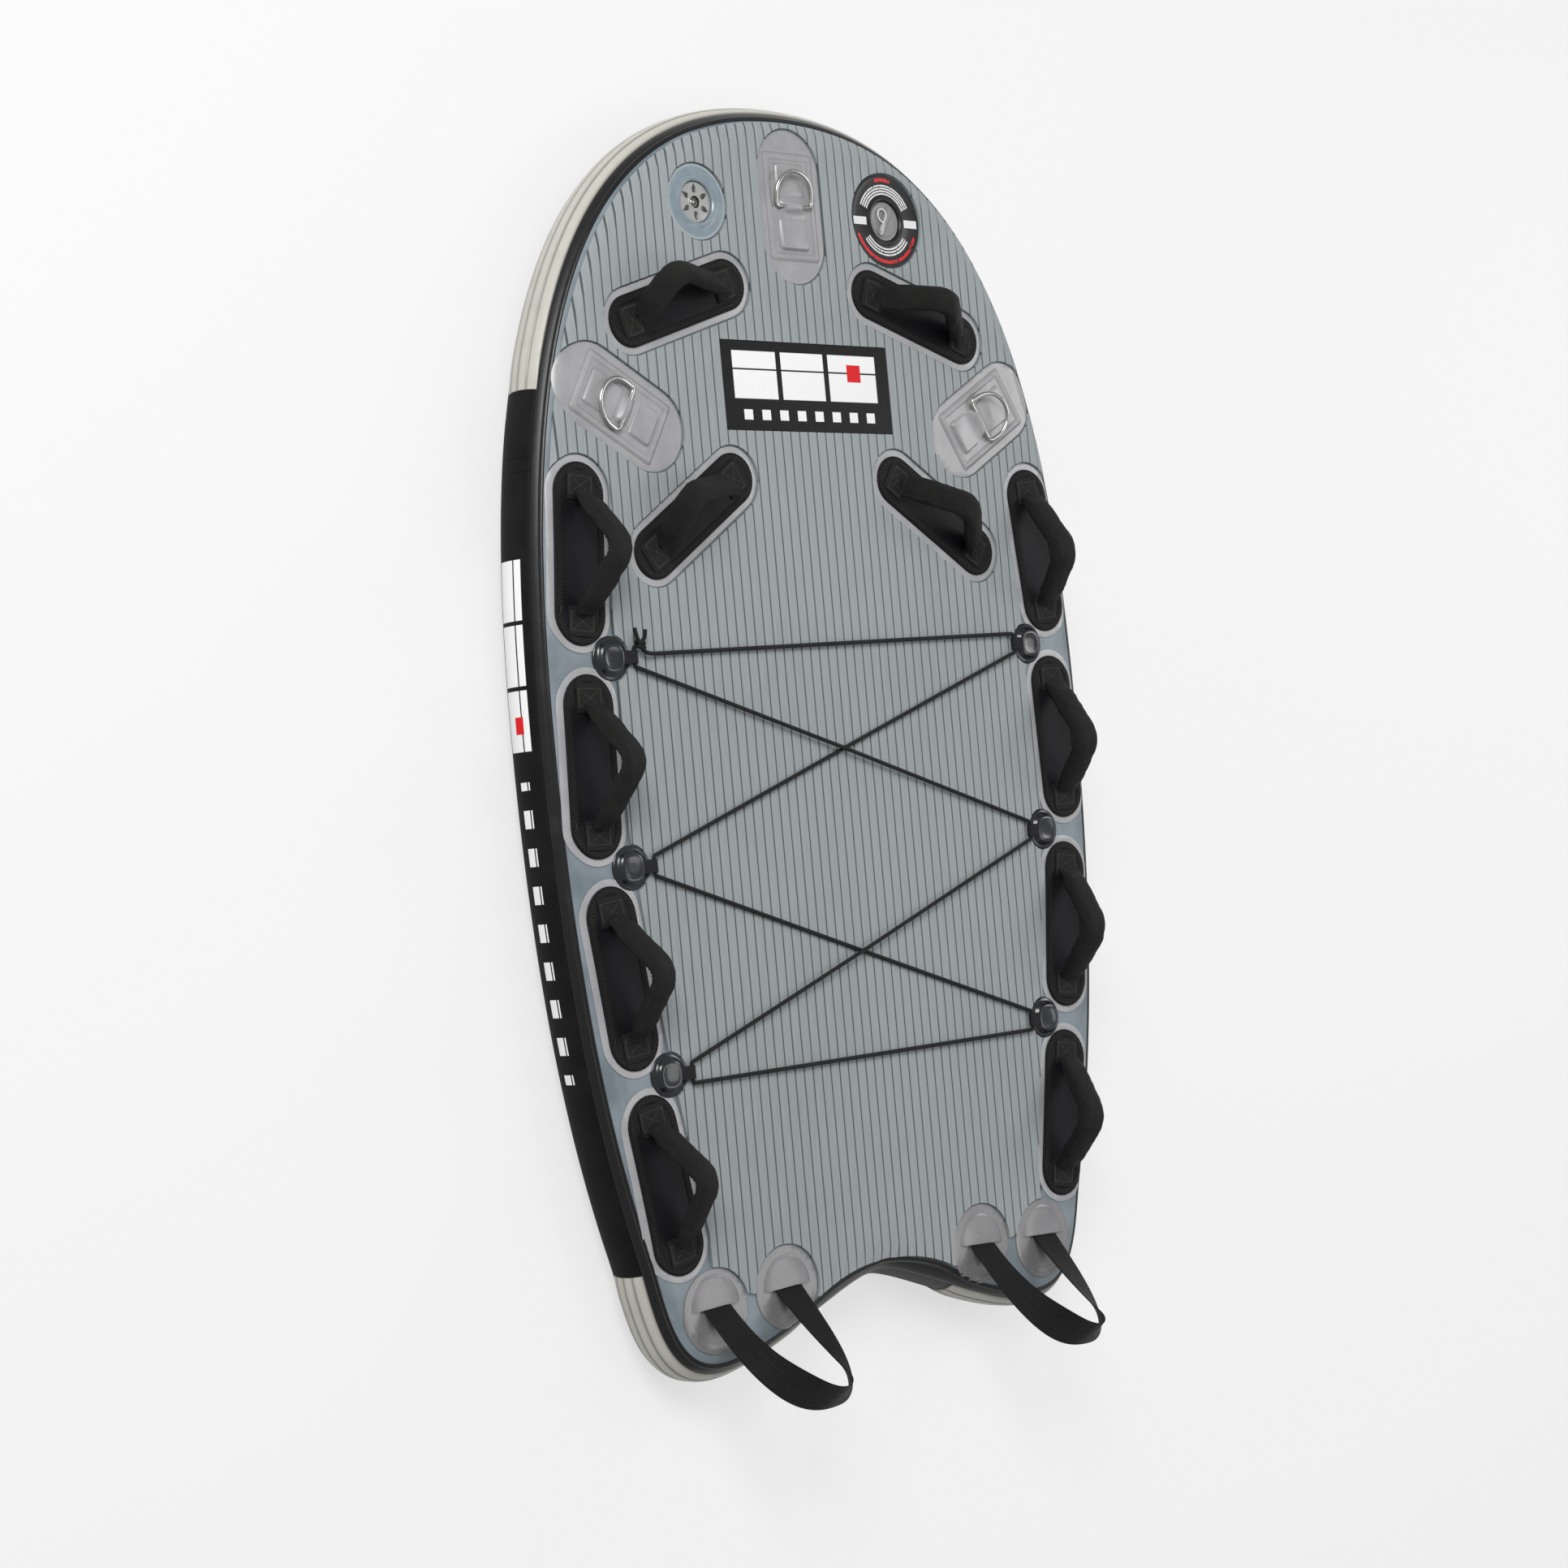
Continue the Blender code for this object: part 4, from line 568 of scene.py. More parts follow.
def oblong(u, v, spanU, spanV, soft=0.0005):  # 1 inside these limits, which are in millimetres
    return u.band(spanU[0] * mm, spanU[1] * mm, soft) * v.band(spanV[0] * mm, spanV[1] * mm, soft)


def blockPrint(paint, base, u, v, look):
    # Plain white blocks and dashes with one red square, in place of any mark.
    white = (u.saw(look["dashPitch"] * mm) < 0.24) * oblong(u, v, look["dashes"], look["dashHigh"])
    for span in look["blocks"]:
        white = white + oblong(u, v, span, look["high"])
    white = white * (1 - oblong(u, v, (-2000, 2000), look["line"]))
    printed = paint.mix(white, base, printColour["white"])
    return paint.mix(oblong(u, v, look["red"], look["redHigh"]), printed, printColour["red"])


def bandPvc():
    paint = Paint("bandPvc", (0.011, 0.01073, 0.01045), 0.6, Specular_IOR_Level=0.12)
    x, y, z = paint.xyz()
    wear = paint.noise(22, 5)
    along = y - rowY
    seams = [1 - (along - spot * mm).math("ABSOLUTE").step(0.0004, 0.0013) for spot in bandPrint["seams"]]
    seam = seams[0] + seams[1]
    base = paint.mix(wear.step(0.35, 0.7), (0.00385, 0.003795, 0.003685), (0.00715, 0.006985, 0.00682))
    base = paint.mix(seam * 0.7, base, (0.0022, 0.0022, 0.0022))
    paint.colour(blockPrint(paint, base, along, z, bandPrint))
    paint.rough(wear * 0.18 + 0.48)
    paint.bump(y.wave(0.0016) * z.wave(0.0016) * 0.1 + (1 - seam), 0.0007)
    return paint


def strakePvc():
    paint = Paint("strakePvc", (0.456, 0.444, 0.4), 0.42, Coat_Weight=0.1)
    grime = paint.noise(38, 5).step(0.5, 0.8)
    broad = paint.noise(5, 3)
    clean = paint.mix(broad, (0.424, 0.412, 0.364), (0.488, 0.476, 0.432))
    soiled = paint.mix(grime * 0.3, clean, (0.32, 0.308, 0.268))
    # the grooves between the ribs get painted shade, through the hollow attribute
    paint.colour(paint.mix(paint.attribute("hollow") * 0.85, soiled, (0.136, 0.128, 0.108)))
    paint.rough(broad * 0.15 + grime * 0.1 + 0.32)
    paint.bump(paint.noise(300, 3), 0.0002)
    return paint


groove = {"pitch": 17.7, "wide": 2.5, "deep": 1.6, "phase": 0.5}


def padFoam():
    paint = Paint("padFoam", (0.295, 0.32, 0.33), 0.8, Specular_IOR_Level=0.3)
    x, y, z = paint.xyz()
    brushed = paint.noise(1.0, 4, paint.stretched((900, 16, 300)))
    cloud = paint.noise(3.4, 4)
    speck = paint.noise(900, 2)
    land = paint.mix(brushed.step(0.25, 0.75), (0.242, 0.265, 0.274), (0.308, 0.336, 0.344))
    land = paint.mix(cloud.step(0.3, 0.7) * 0.5, land, (0.310, 0.335, 0.343))
    land = paint.mix(speck.step(0.58, 0.7) * 0.35, land, (0.19, 0.215, 0.222))
    # the grooves are painted darker than the lands: painted shade
    cut = x.saw(groove["pitch"] * mm)
    share = groove["wide"] / 2 / groove["pitch"]
    inGroove = 1 - cut.step(share * 0.75, share * 1.15)
    paint.colour(paint.mix(inGroove, land, (0.085, 0.100, 0.103)))
    paint.rough(brushed * 0.12 + 0.74)
    paint.bump(speck * 0.6 + brushed * 0.8, 0.0004)
    return paint


badgePrint = {"blocks": ((-148, -62), (-52, 34), (44, 142)), "high": (664, 734), "line": (706, 708.5),
              "red": (82, 110), "redHigh": (694, 720), "dashes": (-142, 142), "dashPitch": 35.5,
              "dashHigh": (633, 648)}


def badgeFoam():
    paint = Paint("badgeFoam", (0.008, 0.008, 0.009), 0.6, Specular_IOR_Level=0.2)
    x, y, z = paint.xyz()
    grain = paint.noise(700, 3)
    check = (x + y).wave(0.0052) * (x - y).wave(0.0052)
    base = paint.mix(grain, (0.004, 0.004, 0.0045), (0.012, 0.012, 0.013))
    paint.colour(blockPrint(paint, base, x, y - rowY, badgePrint))
    paint.rough(grain * 0.15 + check * 0.1 + 0.45)
    paint.bump(check * 0.8 + grain * 0.4, 0.0005)
    return paint


def patchPvc(name, low, high, rough):
    paint = Paint(name, high, rough, Coat_Weight=0.3, Coat_Roughness=0.2)
    x, y, z = paint.xyz()
    cloud = paint.noise(26, 5)
    stain = paint.noise(110, 4).step(0.55, 0.8)
    base = paint.mix(cloud.step(0.3, 0.7), low, high)
    worn = paint.mix(stain * 0.25, base, tuple(v * 0.7 for v in low))
    # hollow darkens the feet of raised fields: painted shade
    paint.colour(paint.mix(paint.attribute("hollow") * 0.55, worn, tuple(v * 0.35 for v in low)))
    paint.rough(cloud * 0.18 + rough - 0.08)
    paint.bump(cloud * 0.3 + x.wave(0.0016) * y.wave(0.0016) * 0.12, 0.0006)
    return paint


def neoprene():
    paint = Paint("neoprene", (0.006, 0.006, 0.008), 0.55, Specular_IOR_Level=0.15)
    lint = paint.noise(1500, 2).step(0.66, 0.74)
    cloud = paint.noise(40, 3)
    cloth = paint.mix(cloud, (0.0045, 0.0045, 0.006), (0.009, 0.009, 0.012))
    paint.colour(paint.mix(lint * 0.4, cloth, (0.06, 0.06, 0.065)))
    paint.rough(cloud * 0.15 + 0.45)
    paint.bump(paint.noise(1100, 2), 0.0002)
    return paint


def bindingCloth():
    # Black band with a zigzag stitch down its middle.
    paint = Paint("bindingCloth", (0.012, 0.012, 0.012), 0.7, Specular_IOR_Level=0.2)
    along, across = paint.uv()
    zig = (along.saw(0.0056) * 0.0115 + 0.0027 - across).math("ABSOLUTE")
    stitch = 1 - zig.step(0.0004, 0.0011)
    line = 1 - (across - 0.0098).math("ABSOLUTE").step(0.0002, 0.0006)
    dashes = along.saw(0.003).step(0.1, 0.2)
    raised = stitch + line * dashes * 0.7
    paint.colour(paint.mix(raised, (0.005, 0.005, 0.005), (0.040, 0.037, 0.032)))
    paint.rough(raised * -0.2 + 0.72)
    paint.bump(raised * 0.8 + along.wave(0.0012) * across.wave(0.0012) * 0.3, 0.0009)
    return paint


def eyeWeb():
    colour, pitch = (0.014, 0.014, 0.016), 0.0026
    paint = Paint("eyeWeb", colour, 0.75, Specular_IOR_Level=0.2)
    along, across = paint.uv()
    chevron = (along + across.wave(pitch * 5) * pitch * 1.6).wave(pitch)
    warp = across.wave(pitch * 0.8)
    cloud = paint.noise(120, 3)
    dark = tuple(v * 0.55 for v in colour)
    light = tuple(v * 1.9 for v in colour)
    paint.colour(paint.mix(chevron * warp * 0.8 + cloud * 0.2, dark, light))
    paint.rough(chevron * 0.15 + 0.62)
    paint.bump(chevron * 0.6 + warp * 0.4, 0.0007)
    return paint


def tabWeb():
    # Coarse weave with a stitched box and cross, on the tab's own map in metres from its middle.
    paint = Paint("tabWeb", (0.010, 0.010, 0.010), 0.75, Specular_IOR_Level=0.2)
    along, across = paint.uv()
    weave = along.wave(0.0022) * across.wave(0.0022) + (1 - along.wave(0.0022)) * (1 - across.wave(0.0022))
    a, c = along.math("ABSOLUTE"), across.math("ABSOLUTE")
    edge = (a * (1 / 0.013)).math("MAXIMUM", c * (1 / 0.0195))
    box = 1 - (edge - 1.0).math("ABSOLUTE").step(0.03, 0.07)
    cross = (1 - (a * 1.5 - c).math("ABSOLUTE").step(0.0006, 0.0014)) * (edge < 1.0)
    thread = (box + cross).math("MINIMUM", 1.0) * (along + across).saw(0.003).step(0.08, 0.2)
    cloth = paint.mix(weave, (0.0035, 0.0035, 0.0035), (0.020, 0.019, 0.018))
    paint.colour(paint.mix(thread, cloth, (0.050, 0.048, 0.045)))
    paint.rough(weave * 0.15 + 0.62)
    paint.bump(weave * 0.7 + thread * 0.6, 0.0008)
    return paint


def sleeveCloth():
    paint = Paint("sleeveCloth", (0.010, 0.0098, 0.0092), 0.7, Specular_IOR_Level=0.22)
    along, across = paint.uv()
    rib = across.wave(0.0017)
    weft = along.wave(0.0011)
    cloud = paint.noise(55, 4)
    paint.colour(paint.mix(rib * 0.6 + cloud * 0.4, (0.0045, 0.0044, 0.0042), (0.019, 0.018, 0.017)))
    paint.rough(cloud * 0.15 + 0.55)
    paint.bump(rib * 0.6 + weft * 0.25 + paint.noise(60, 3) * 4.0, 0.0012)
    return paint


def ringSteel():
    paint = Paint("ringSteel", (0.50, 0.49, 0.47), 0.2, Metallic=1.0)
    smear = paint.noise(60, 3)
    paint.colour(paint.mix(smear, (0.42, 0.41, 0.39), (0.60, 0.59, 0.57)))
    paint.rough(smear * 0.14 + paint.noise(500, 2) * 0.05 + 0.1)
    return paint


def anchorRubber():
    paint = Paint("anchorRubber", (0.008, 0.009, 0.011), 0.24, Coat_Weight=0.2, Coat_Roughness=0.12)
    smear = paint.noise(75, 3)
    paint.colour(paint.mix(smear, (0.006, 0.007, 0.009), (0.012, 0.013, 0.016)))
    paint.rough(smear * 0.08 + 0.2)
    paint.bump(paint.noise(350, 2), 0.00004)
    return paint


def cordBraid():
    paint = Paint("cordBraid", (0.008, 0.008, 0.008), 0.6, Specular_IOR_Level=0.25)
    along, across = paint.uv()
    first = (along * 1.0 + across * 1.0).wave(0.0024)
    second = (along * 1.0 - across * 1.0).wave(0.0024)
    braid = first.math("MAXIMUM", second)
    paint.colour(paint.mix(braid * first, (0.0035, 0.0035, 0.004), (0.018, 0.018, 0.019)))
    paint.rough(braid * -0.15 + 0.66)
    paint.bump(braid, 0.0006)
    return paint


def strapWeb():
    # Wide webbing: fine herringbone, with ridges down the middle and near each edge.
    paint = Paint("strapWeb", (0.009, 0.009, 0.009), 0.6, Specular_IOR_Level=0.18)
    along, across = paint.uv()
    lane = across.wave(0.0062)
    herring = (along + lane * 0.004).wave(0.0021)
    ridge = across.saw(0.0125).step(0.44, 0.49)
    paint.colour(paint.mix(herring * 0.7 + ridge * 0.3, (0.0035, 0.0035, 0.0038), (0.019, 0.0185, 0.019)))
    paint.rough(herring * 0.12 + 0.42)
    paint.bump(herring * 0.4 + ridge * 1.2 + paint.noise(40, 3) * 4.5, 0.0013)
    return paint


valve = {"relief": (-187, 948.5), "reliefFlange": 55.5, "inflate": (196, 945.5), "inflateFlange": 71.6,
         "throat": 33, "floorDeep": 5.0, "starTurn": 30, "faceHigh": 3.6}


def radial(paint, centre):
    # Distance from a valve's middle and the angle round it, from -pi to pi.
    x, y, z = paint.xyz()
    dx, dy = x - centre[0] * mm, y - (centre[1] * mm + rowY)
    return (dx * dx + dy * dy).math("SQRT"), dy.math("ARCTAN2", dx)


def reliefPlastic():
    paint = Paint("reliefPlastic", (0.40, 0.47, 0.50), 0.28, Coat_Weight=0.3, Coat_Roughness=0.12)
    far, angle = radial(paint, valve["relief"])
    cloud = paint.noise(60, 4)
    rim = far.band(0.0515, 0.058, 0.0010)
    base = paint.mix(cloud, (0.155, 0.20, 0.235), (0.24, 0.29, 0.325))
    paint.colour(paint.mix(rim, base, (0.30, 0.345, 0.37)))
    paint.rough(cloud * 0.15 + 0.2)
    paint.bump(cloud + far.wave(0.004) * 0.1, 0.0003)
    return paint


def facePlastic():
    # The relief valve's silvery face, with painted shade in its star-shaped hollows.
    paint = Paint("facePlastic", (0.33, 0.335, 0.325), 0.3, Coat_Weight=0.2)
    x, y, z = paint.xyz()
    cloud = paint.noise(150, 4)
    top = (hull["deep"] + gap - valve["floorDeep"] + valve["faceHigh"]) * mm
    # deep marks what lies below the face's top, which gets painted shade
    deep = 1 - z.step(top - 0.0013, top - 0.0001)
    land = paint.mix(cloud, (0.27, 0.275, 0.265), (0.36, 0.365, 0.355))
    paint.colour(paint.mix(deep, land, (0.045, 0.047, 0.045)))
    paint.rough(cloud * 0.15 + 0.24)
    paint.bump(cloud, 0.0001)
    return paint


labelPrint = {"upper": (40.5, 44.7, 48.9, 53.1), "lower": (42.0, 46.6, 51.2), "rowHigh": 2.5,
              "upperSine": 0.42, "lowerSine": -0.55, "red": (60.5, 65.5), "redTop": 0.965,
              "redLow": -0.35, "tagX": (40, 67), "tagY": (-8, 4)}


def labelPlastic():
    # Black disc with broken arcs and plain tags that say nothing.
    paint = Paint("labelPlastic", (0.012, 0.012, 0.013), 0.4, Coat_Weight=0.1, Specular_IOR_Level=0.3)
    look = labelPrint
    far, angle = radial(paint, valve["inflate"])
    x, y, z = paint.xyz()
    up, sideways = angle.math("SINE"), (x - valve["inflate"][0] * mm).math("ABSOLUTE")
    cloud = paint.noise(90, 4)
    spot = paint.node("CombineXYZ", {}, angle * 14, (far * 240).math("FLOOR") * 3.1, 0.0)
    broken = paint.noise(1.0, 2, spot).step(0.36, 0.40)
    rows = [(r, up > look["upperSine"]) for r in look["upper"]]
    rows += [(r, up < look["lowerSine"]) for r in look["lower"]]
    white = None
    for radius, where in rows:
        row = far.band(radius * mm, (radius + look["rowHigh"]) * mm, 0.0002) * where * broken
        white = row if white is None else white + row
    tagHigh = [v + valve["inflate"][1] for v in look["tagY"]]
    white = white + oblong(sideways, y - rowY, look["tagX"], tagHigh, 0.0003)
    red = far.band(look["red"][0] * mm, look["red"][1] * mm, 0.0003) * broken
    red = red * ((up > look["redTop"]) + (up < look["redLow"]))
    base = paint.mix(cloud, (0.006, 0.006, 0.0065), (0.014, 0.014, 0.015))
    base = paint.mix(red, base, (0.55, 0.015, 0.018))
    paint.colour(paint.mix(white.math("MINIMUM", 1.0), base, (0.66, 0.66, 0.66)))
    paint.rough(cloud * 0.15 + 0.32)
    paint.bump(cloud, 0.0002)
    return paint


def plainPlastic(name, colour, rough):
    paint = Paint(name, colour, rough, Coat_Weight=0.15)
    cloud = paint.noise(120, 4)
    paint.colour(paint.mix(cloud, tuple(v * 0.86 for v in colour), tuple(min(1, v * 1.12) for v in colour)))
    paint.rough(cloud * 0.16 + rough - 0.08)
    paint.bump(paint.noise(500, 2), 0.0001)
    return paint


finish = {"deck": deckPvc(), "wall": wallPvc(), "rail": railPvc(), "band": bandPvc(), "strake": strakePvc(),
          "pad": padFoam(), "badge": badgeFoam(), "neoprene": neoprene(), "binding": bindingCloth(),
          "tab": tabWeb(), "eyeWeb": eyeWeb(), "sleeve": sleeveCloth(),
          "steel": ringSteel(), "anchor": anchorRubber(), "cord": cordBraid(), "strap": strapWeb(),
          "relief": reliefPlastic(), "face": facePlastic(), "label": labelPlastic(),
          "patch": patchPvc("patchPvc", (0.265, 0.260, 0.268), (0.315, 0.310, 0.318), 0.34),
          "border": patchPvc("borderPvc", (0.29, 0.29, 0.30), (0.35, 0.35, 0.36), 0.38),
          "disc": patchPvc("discPvc", (0.180, 0.174, 0.180), (0.215, 0.208, 0.214), 0.28),
          "poppet": plainPlastic("poppetPlastic", (0.10, 0.10, 0.098), 0.3),
          "cap": plainPlastic("capPlastic", (0.20, 0.20, 0.205), 0.36),
          "tether": plainPlastic("tetherCord", (0.62, 0.62, 0.60), 0.6),
          "core": plainPlastic("coreCloth", (0.75, 0.75, 0.72), 0.85)}
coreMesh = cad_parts["drop_stitch_core"].data
coreMesh.materials.clear()
coreMesh.materials.append(finish["core"].material)
print("finishes ready")

# Hull
deg = math.radians
sheet = {"thick": 1.4, "flatFrom": 110, "edges": (90, 84, 78, 72, 66, 60, 56, 52)}


def ringLine(station, inset, height):
    spot, out = station
    return spot - out * inset + Vector((0, 0, height))


def roundTheHull(inset, height):
    return [ringLine(s, inset, height) for s in allStations]


def thicken(obj):  # the sheet's thickness, inwards from its outer face
    modifier = obj.modifiers.new("wall", "SOLIDIFY")
    modifier.thickness = sheet["thick"] * mm
    modifier.offset = -1


def openDeck(bm, centres):  # round holes in the flat of the deck, for the valves
    half = valve["throat"] + 5
    limits = [(0, c.x + side) for c in centres for side in (-half, half)]
    limits += [(1, min(c.y for c in centres) - half), (1, max(c.y for c in centres) + half)]
    for axis, at in limits:
        place, normal = Vector((0, 0, 0)), Vector((0, 0, 0))
        place[axis], normal[axis] = at, 1
        flat = [f for f in bm.faces if all(abs(v.co.z - hull["deep"]) < 0.01 for v in f.verts)]
        parts = {v for f in flat for v in f.verts} | {e for f in flat for e in f.edges}
        bmesh.ops.bisect_plane(bm, geom=flat + list(parts), dist=0.01, plane_co=place, plane_no=normal)
    for centre in centres:
        inside = [f for f in bm.faces if all((v.co.xy - centre).length < half * 1.6 for v in f.verts)]
        square = bmesh.ops.dissolve_faces(bm, faces=inside)["region"][0]
        bmesh.ops.subdivide_edges(bm, edges=square.edges[:], cuts=15)
        lid = next(f for f in bm.faces if all((v.co.xy - centre).length < half * 1.6 for v in f.verts))
        corners = lid.verts[:]
        bmesh.ops.delete(bm, geom=[lid], context="FACES_ONLY")
        ring = []
        for vert in corners:
            way = (vert.co.xy - centre).normalized() * (valve["throat"] + gap)
            ring.append(bm.verts.new((*(centre + way), hull["deep"])))
        for k in range(len(corners)):
            bm.faces.new([corners[k - 1], corners[k], ring[k], ring[k - 1]])


def skinPiece(name, paint, node, flip):
    def height(z):
        return hull["deep"] - z if flip else z
    bm = bmesh.new()
    outer = [(sheet["flatFrom"], hull["deep"])] + [onWall(deg(a), 0) for a in sheet["edges"]]
    if flip:  # from the outer lip over the bottom
        outer.reverse()
    rows = [roundTheHull(inset, height(z)) for inset, z in outer]
    sweep(bm, rows, capped=False)
    ends = [e for e in bm.edges if e.is_boundary]
    innerMost = [e for e in ends if all(abs(v.co.z - height(hull["deep"])) < 0.01 for v in e.verts)]
    bmesh.ops.contextual_create(bm, geom=innerMost)
    if not flip:
        openDeck(bm, [Vector(valve["relief"]), Vector(valve["inflate"])])
    thicken(settle(bm, name, paint, "root", (node,), sharp=60))


skinPiece("deck_sheet", finish["deck"], "deck_skin", False)
skinPiece("bottom_sheet", finish["wall"], "bottom_skin", True)

wallBm = bmesh.new()
sweep(wallBm, [roundTheHull(*onWall(deg(a), 0)) for a in range(48, -49, -6)], capped=False)
thicken(settle(wallBm, "wall_sheet", finish["wall"], "root", ("side_wall",), sharp=60))


def notchExtra(spot):  # how much wider the tape lies on the flanks of the notch
    share = max(0.0, min(1.0, (abs(spot.x) - 15) / 165))
    return math.sin(math.pi * share) if spot.y < -500 else 0.0


def railTape(name, node, flip):
    # Welded tape over the seam, with a raised seam line a third of the way in. It is wider round the notch.
    bm = bmesh.new()
    spread = []
    for k in range(21):
        lift = gap + 1.2 + 0.9 * math.exp(-((k - 6) / 0.8) ** 2) - 0.8 * math.exp(-min(k, 20 - k) * 2.2)
        spread.append((k / 20, lift))
    spread += [(1.0, gap), (0.5, gap), (0.0, gap)]
    rows = []
    for share, lift in spread:
        row = []
        for station in allStations:
            spot = station[0]
            notchNear = max(0.0, min(1.0, (170 - abs(spot.x)) / 70)) if spot.y < -500 and not flip else 0.0
            top = hull["tapeTop"] + 6.5 * notchNear + (0 if flip else 11 * notchExtra(spot))
            inset, z = onWall(deg(top + (hull["tapeLow"] - top) * share), lift)
            row.append(ringLine(station, inset, hull["deep"] - z if flip else z))
        rows.append(row)
    sweep(bm, rows, closedPath=True)
    settle(bm, name, finish["rail"], "root", (node,))


railTape("rail_tape_top", "rail_tape_upper", False)
railTape("rail_tape_bottom", "rail_tape_lower", True)


stripEdge = hull["tapeLow"] - 0.6


def wallStrip(name, node, paint, places, lift, side=1, ends=4):
    # A strip between the tapes along these stations. lift(angle) is how far it stands out.
    bm = bmesh.new()
    edge = stripEdge
    angles = [edge - 2 * edge * k / 64 for k in range(65)]
    sections = []
    for i, station in enumerate(places):
        fade = min(1.0, (min(i, len(places) - 1 - i) + 0.35) / ends) ** 0.5
        outer = []
        for k, angle in enumerate(angles):
            soft = min(1.0, (min(k, 64 - k) + 0.6) / 2.0)
            outer.append(onWall(deg(angle), gap + 0.4 + (lift(angle) - 0.4) * soft * fade))
        inner = [onWall(deg(a), gap) for a in (-edge, -19, 0, 19, edge)]
        section = [ringLine(station, inset, z) for inset, z in outer + inner]
        if side < 0:
            section = [mirrorX @ spot for spot in section]
        sections.append(section)
    sweep(bm, sections)
    # hollow is painted shade: dark in the grooves between the ribs, nothing on their crests
    corner, hollow = bm.verts.layers.int["corner"], bm.verts.layers.float.new("hollow")
    for vert in bm.verts:
        if vert[corner] < len(angles):
            vert[hollow] = (1 - ribAt(angles[vert[corner]])) ** 2.2
    settle(bm, name, paint, "root", (node,))


def ribAt(angle):  # 1 on the crest of a rib, 0 in the groove between two
    return abs(math.sin(math.pi * (angle + stripEdge) / (2 * stripEdge) * 4))


def bandLift(angle):
    return 1.7


def strakeLift(angle):  # flat ribs along the strip, lower towards the tapes
    rise = min(1.0, (stripEdge - abs(angle)) / 20)
    return 1.2 + 2.0 * rise + (0.9 + 1.2 * rise) * ribAt(angle) ** 0.4


drawnBack = 3.0  # the strips' ends stand this far apart, as lengths along the outline
sideStations = stations(bandFront + drawnBack * 0.3, bandBack - drawnBack * 0.3, 90)
tailStations = stations(bandBack + drawnBack * 0.3, strakeEnd, 80)
for side, word in ((1, "right"), (-1, "left")):
    band, strake = "side_band_" + word, "tail_strake_" + word
    wallStrip(band + "_strip", band, finish["band"], sideStations, bandLift, side)
    wallStrip(strake + "_strip", strake, finish["strake"], tailStations, strakeLift, side)
frontHalf = stations(0, bandFront - drawnBack * 0.3, 60)
noseRow = [(mirrorX @ spot, mirrorX @ out) for spot, out in frontHalf[:0:-1]] + frontHalf
wallStrip("nose_strake_strip", "nose_strake", finish["strake"], noseRow, strakeLift)
print("hull ready")

# Places on the deck
sideHandles = (((455.3, 523.9), (471.1, 354.3)), ((471.2, 228.5), (475.8, 59.0)),
               ((464.0, -65.6), (443.6, -237.0)), ((424.3, -358.8), (395.0, -527.8)))
frontHandles = (((334.5, 768.0), (148.0, 829.5)), ((326.0, 439.0), (166.0, 546.0)))
handleLook = {"sideRadius": 43.5, "frontRadius": 38, "border": 10, "patch": 1.2, "pad": 3.0, "tabLong": 34,
              "tabWide": 46, "gripReach": 84, "gripHigh": 65, "gripThick": 24, "axisHigh": 7.0,
              "bend": 30}
gripLook = {"sides": 36, "easeOver": 30, "endHalfWide": 19.0, "widens": 1.0, "endHalfThick": 4.2,
            "bendOver": 5.5, "square": 2.6, "stiffBelow": -5.0, "freeAbove": 16.0}
towLook = {"radius": 61, "noseSpan": 54, "sideSpan": 60, "nose": (0, 953), "side": (366.5, 645), "turn": 60,
           "overlayWide": 85, "overlayLong": 148, "overlay": 1.4, "axisHigh": 4.4, "wire": 6.2, "ringWide": 77,
           "leg": 16.5, "corner": 7, "sideShift": -8, "spread": 7.5, "foldSlope": 4.5,
           "bell": 8.6, "tongueReach": 30, "rest": {"nose": 10, "left": 6, "right": 18},
           "folds": {1: (57, 12, 9, 2.4, 0.22), -1: (57, 16, 8, 3.6, 0.27)},
           # flank rows: how far in, how high, and how much painted shade at that step
           "flank": ((0, -0.1, 1), (1.5, 0.5, 0.5), (4, 2.2, 0), (6.5, 3.3, 0), (8.5, 3.1, 0), (10.5, 1.9, 0.2),
                     (12, 1.4, 0.6), (13.5, 1.4, 0.1))}
anchorSpots = ((424.8, 292.5), (422.5, 0.0), (387.3, -292.4))
anchorLook = {"radius": 31.5, "reach": 37, "loopWide": 19, "cordHigh": 10.4, "cord": 6.0}
discLook = {"radius": 59.8, "outer": (338.3, -629.9), "inner": (201.3, -617.7), "thick": 1.3, "pocket": 46,
            "shiftOuter": 5.0, "shiftInner": -1.0, "back": 2.0, "front": 6.4, "axisHigh": 3.4, "edgeBack": 1.8}
padLook = {"thick": 4.5, "edge": 29.2, "cut": 2.0, "badgeHalf": 169, "badgeY": (617.5, 749)}


def towCentres():
    rows = [("nose", towLook["nose"], 0.0, towLook["noseSpan"], 0.0)]
    for side, word in ((1, "right"), (-1, "left")):
        centre = (towLook["side"][0] * side, towLook["side"][1])
        rows.append((word, centre, -side * deg(towLook["turn"]), towLook["sideSpan"], towLook["sideShift"]))
    return rows


def towWay(heading):
    return flatVector(-math.sin(heading), math.cos(heading))


def towEnds(centre, way, span):
    return [(centre[0] + way.x * s, centre[1] + way.y * s) for s in (-span, span)]


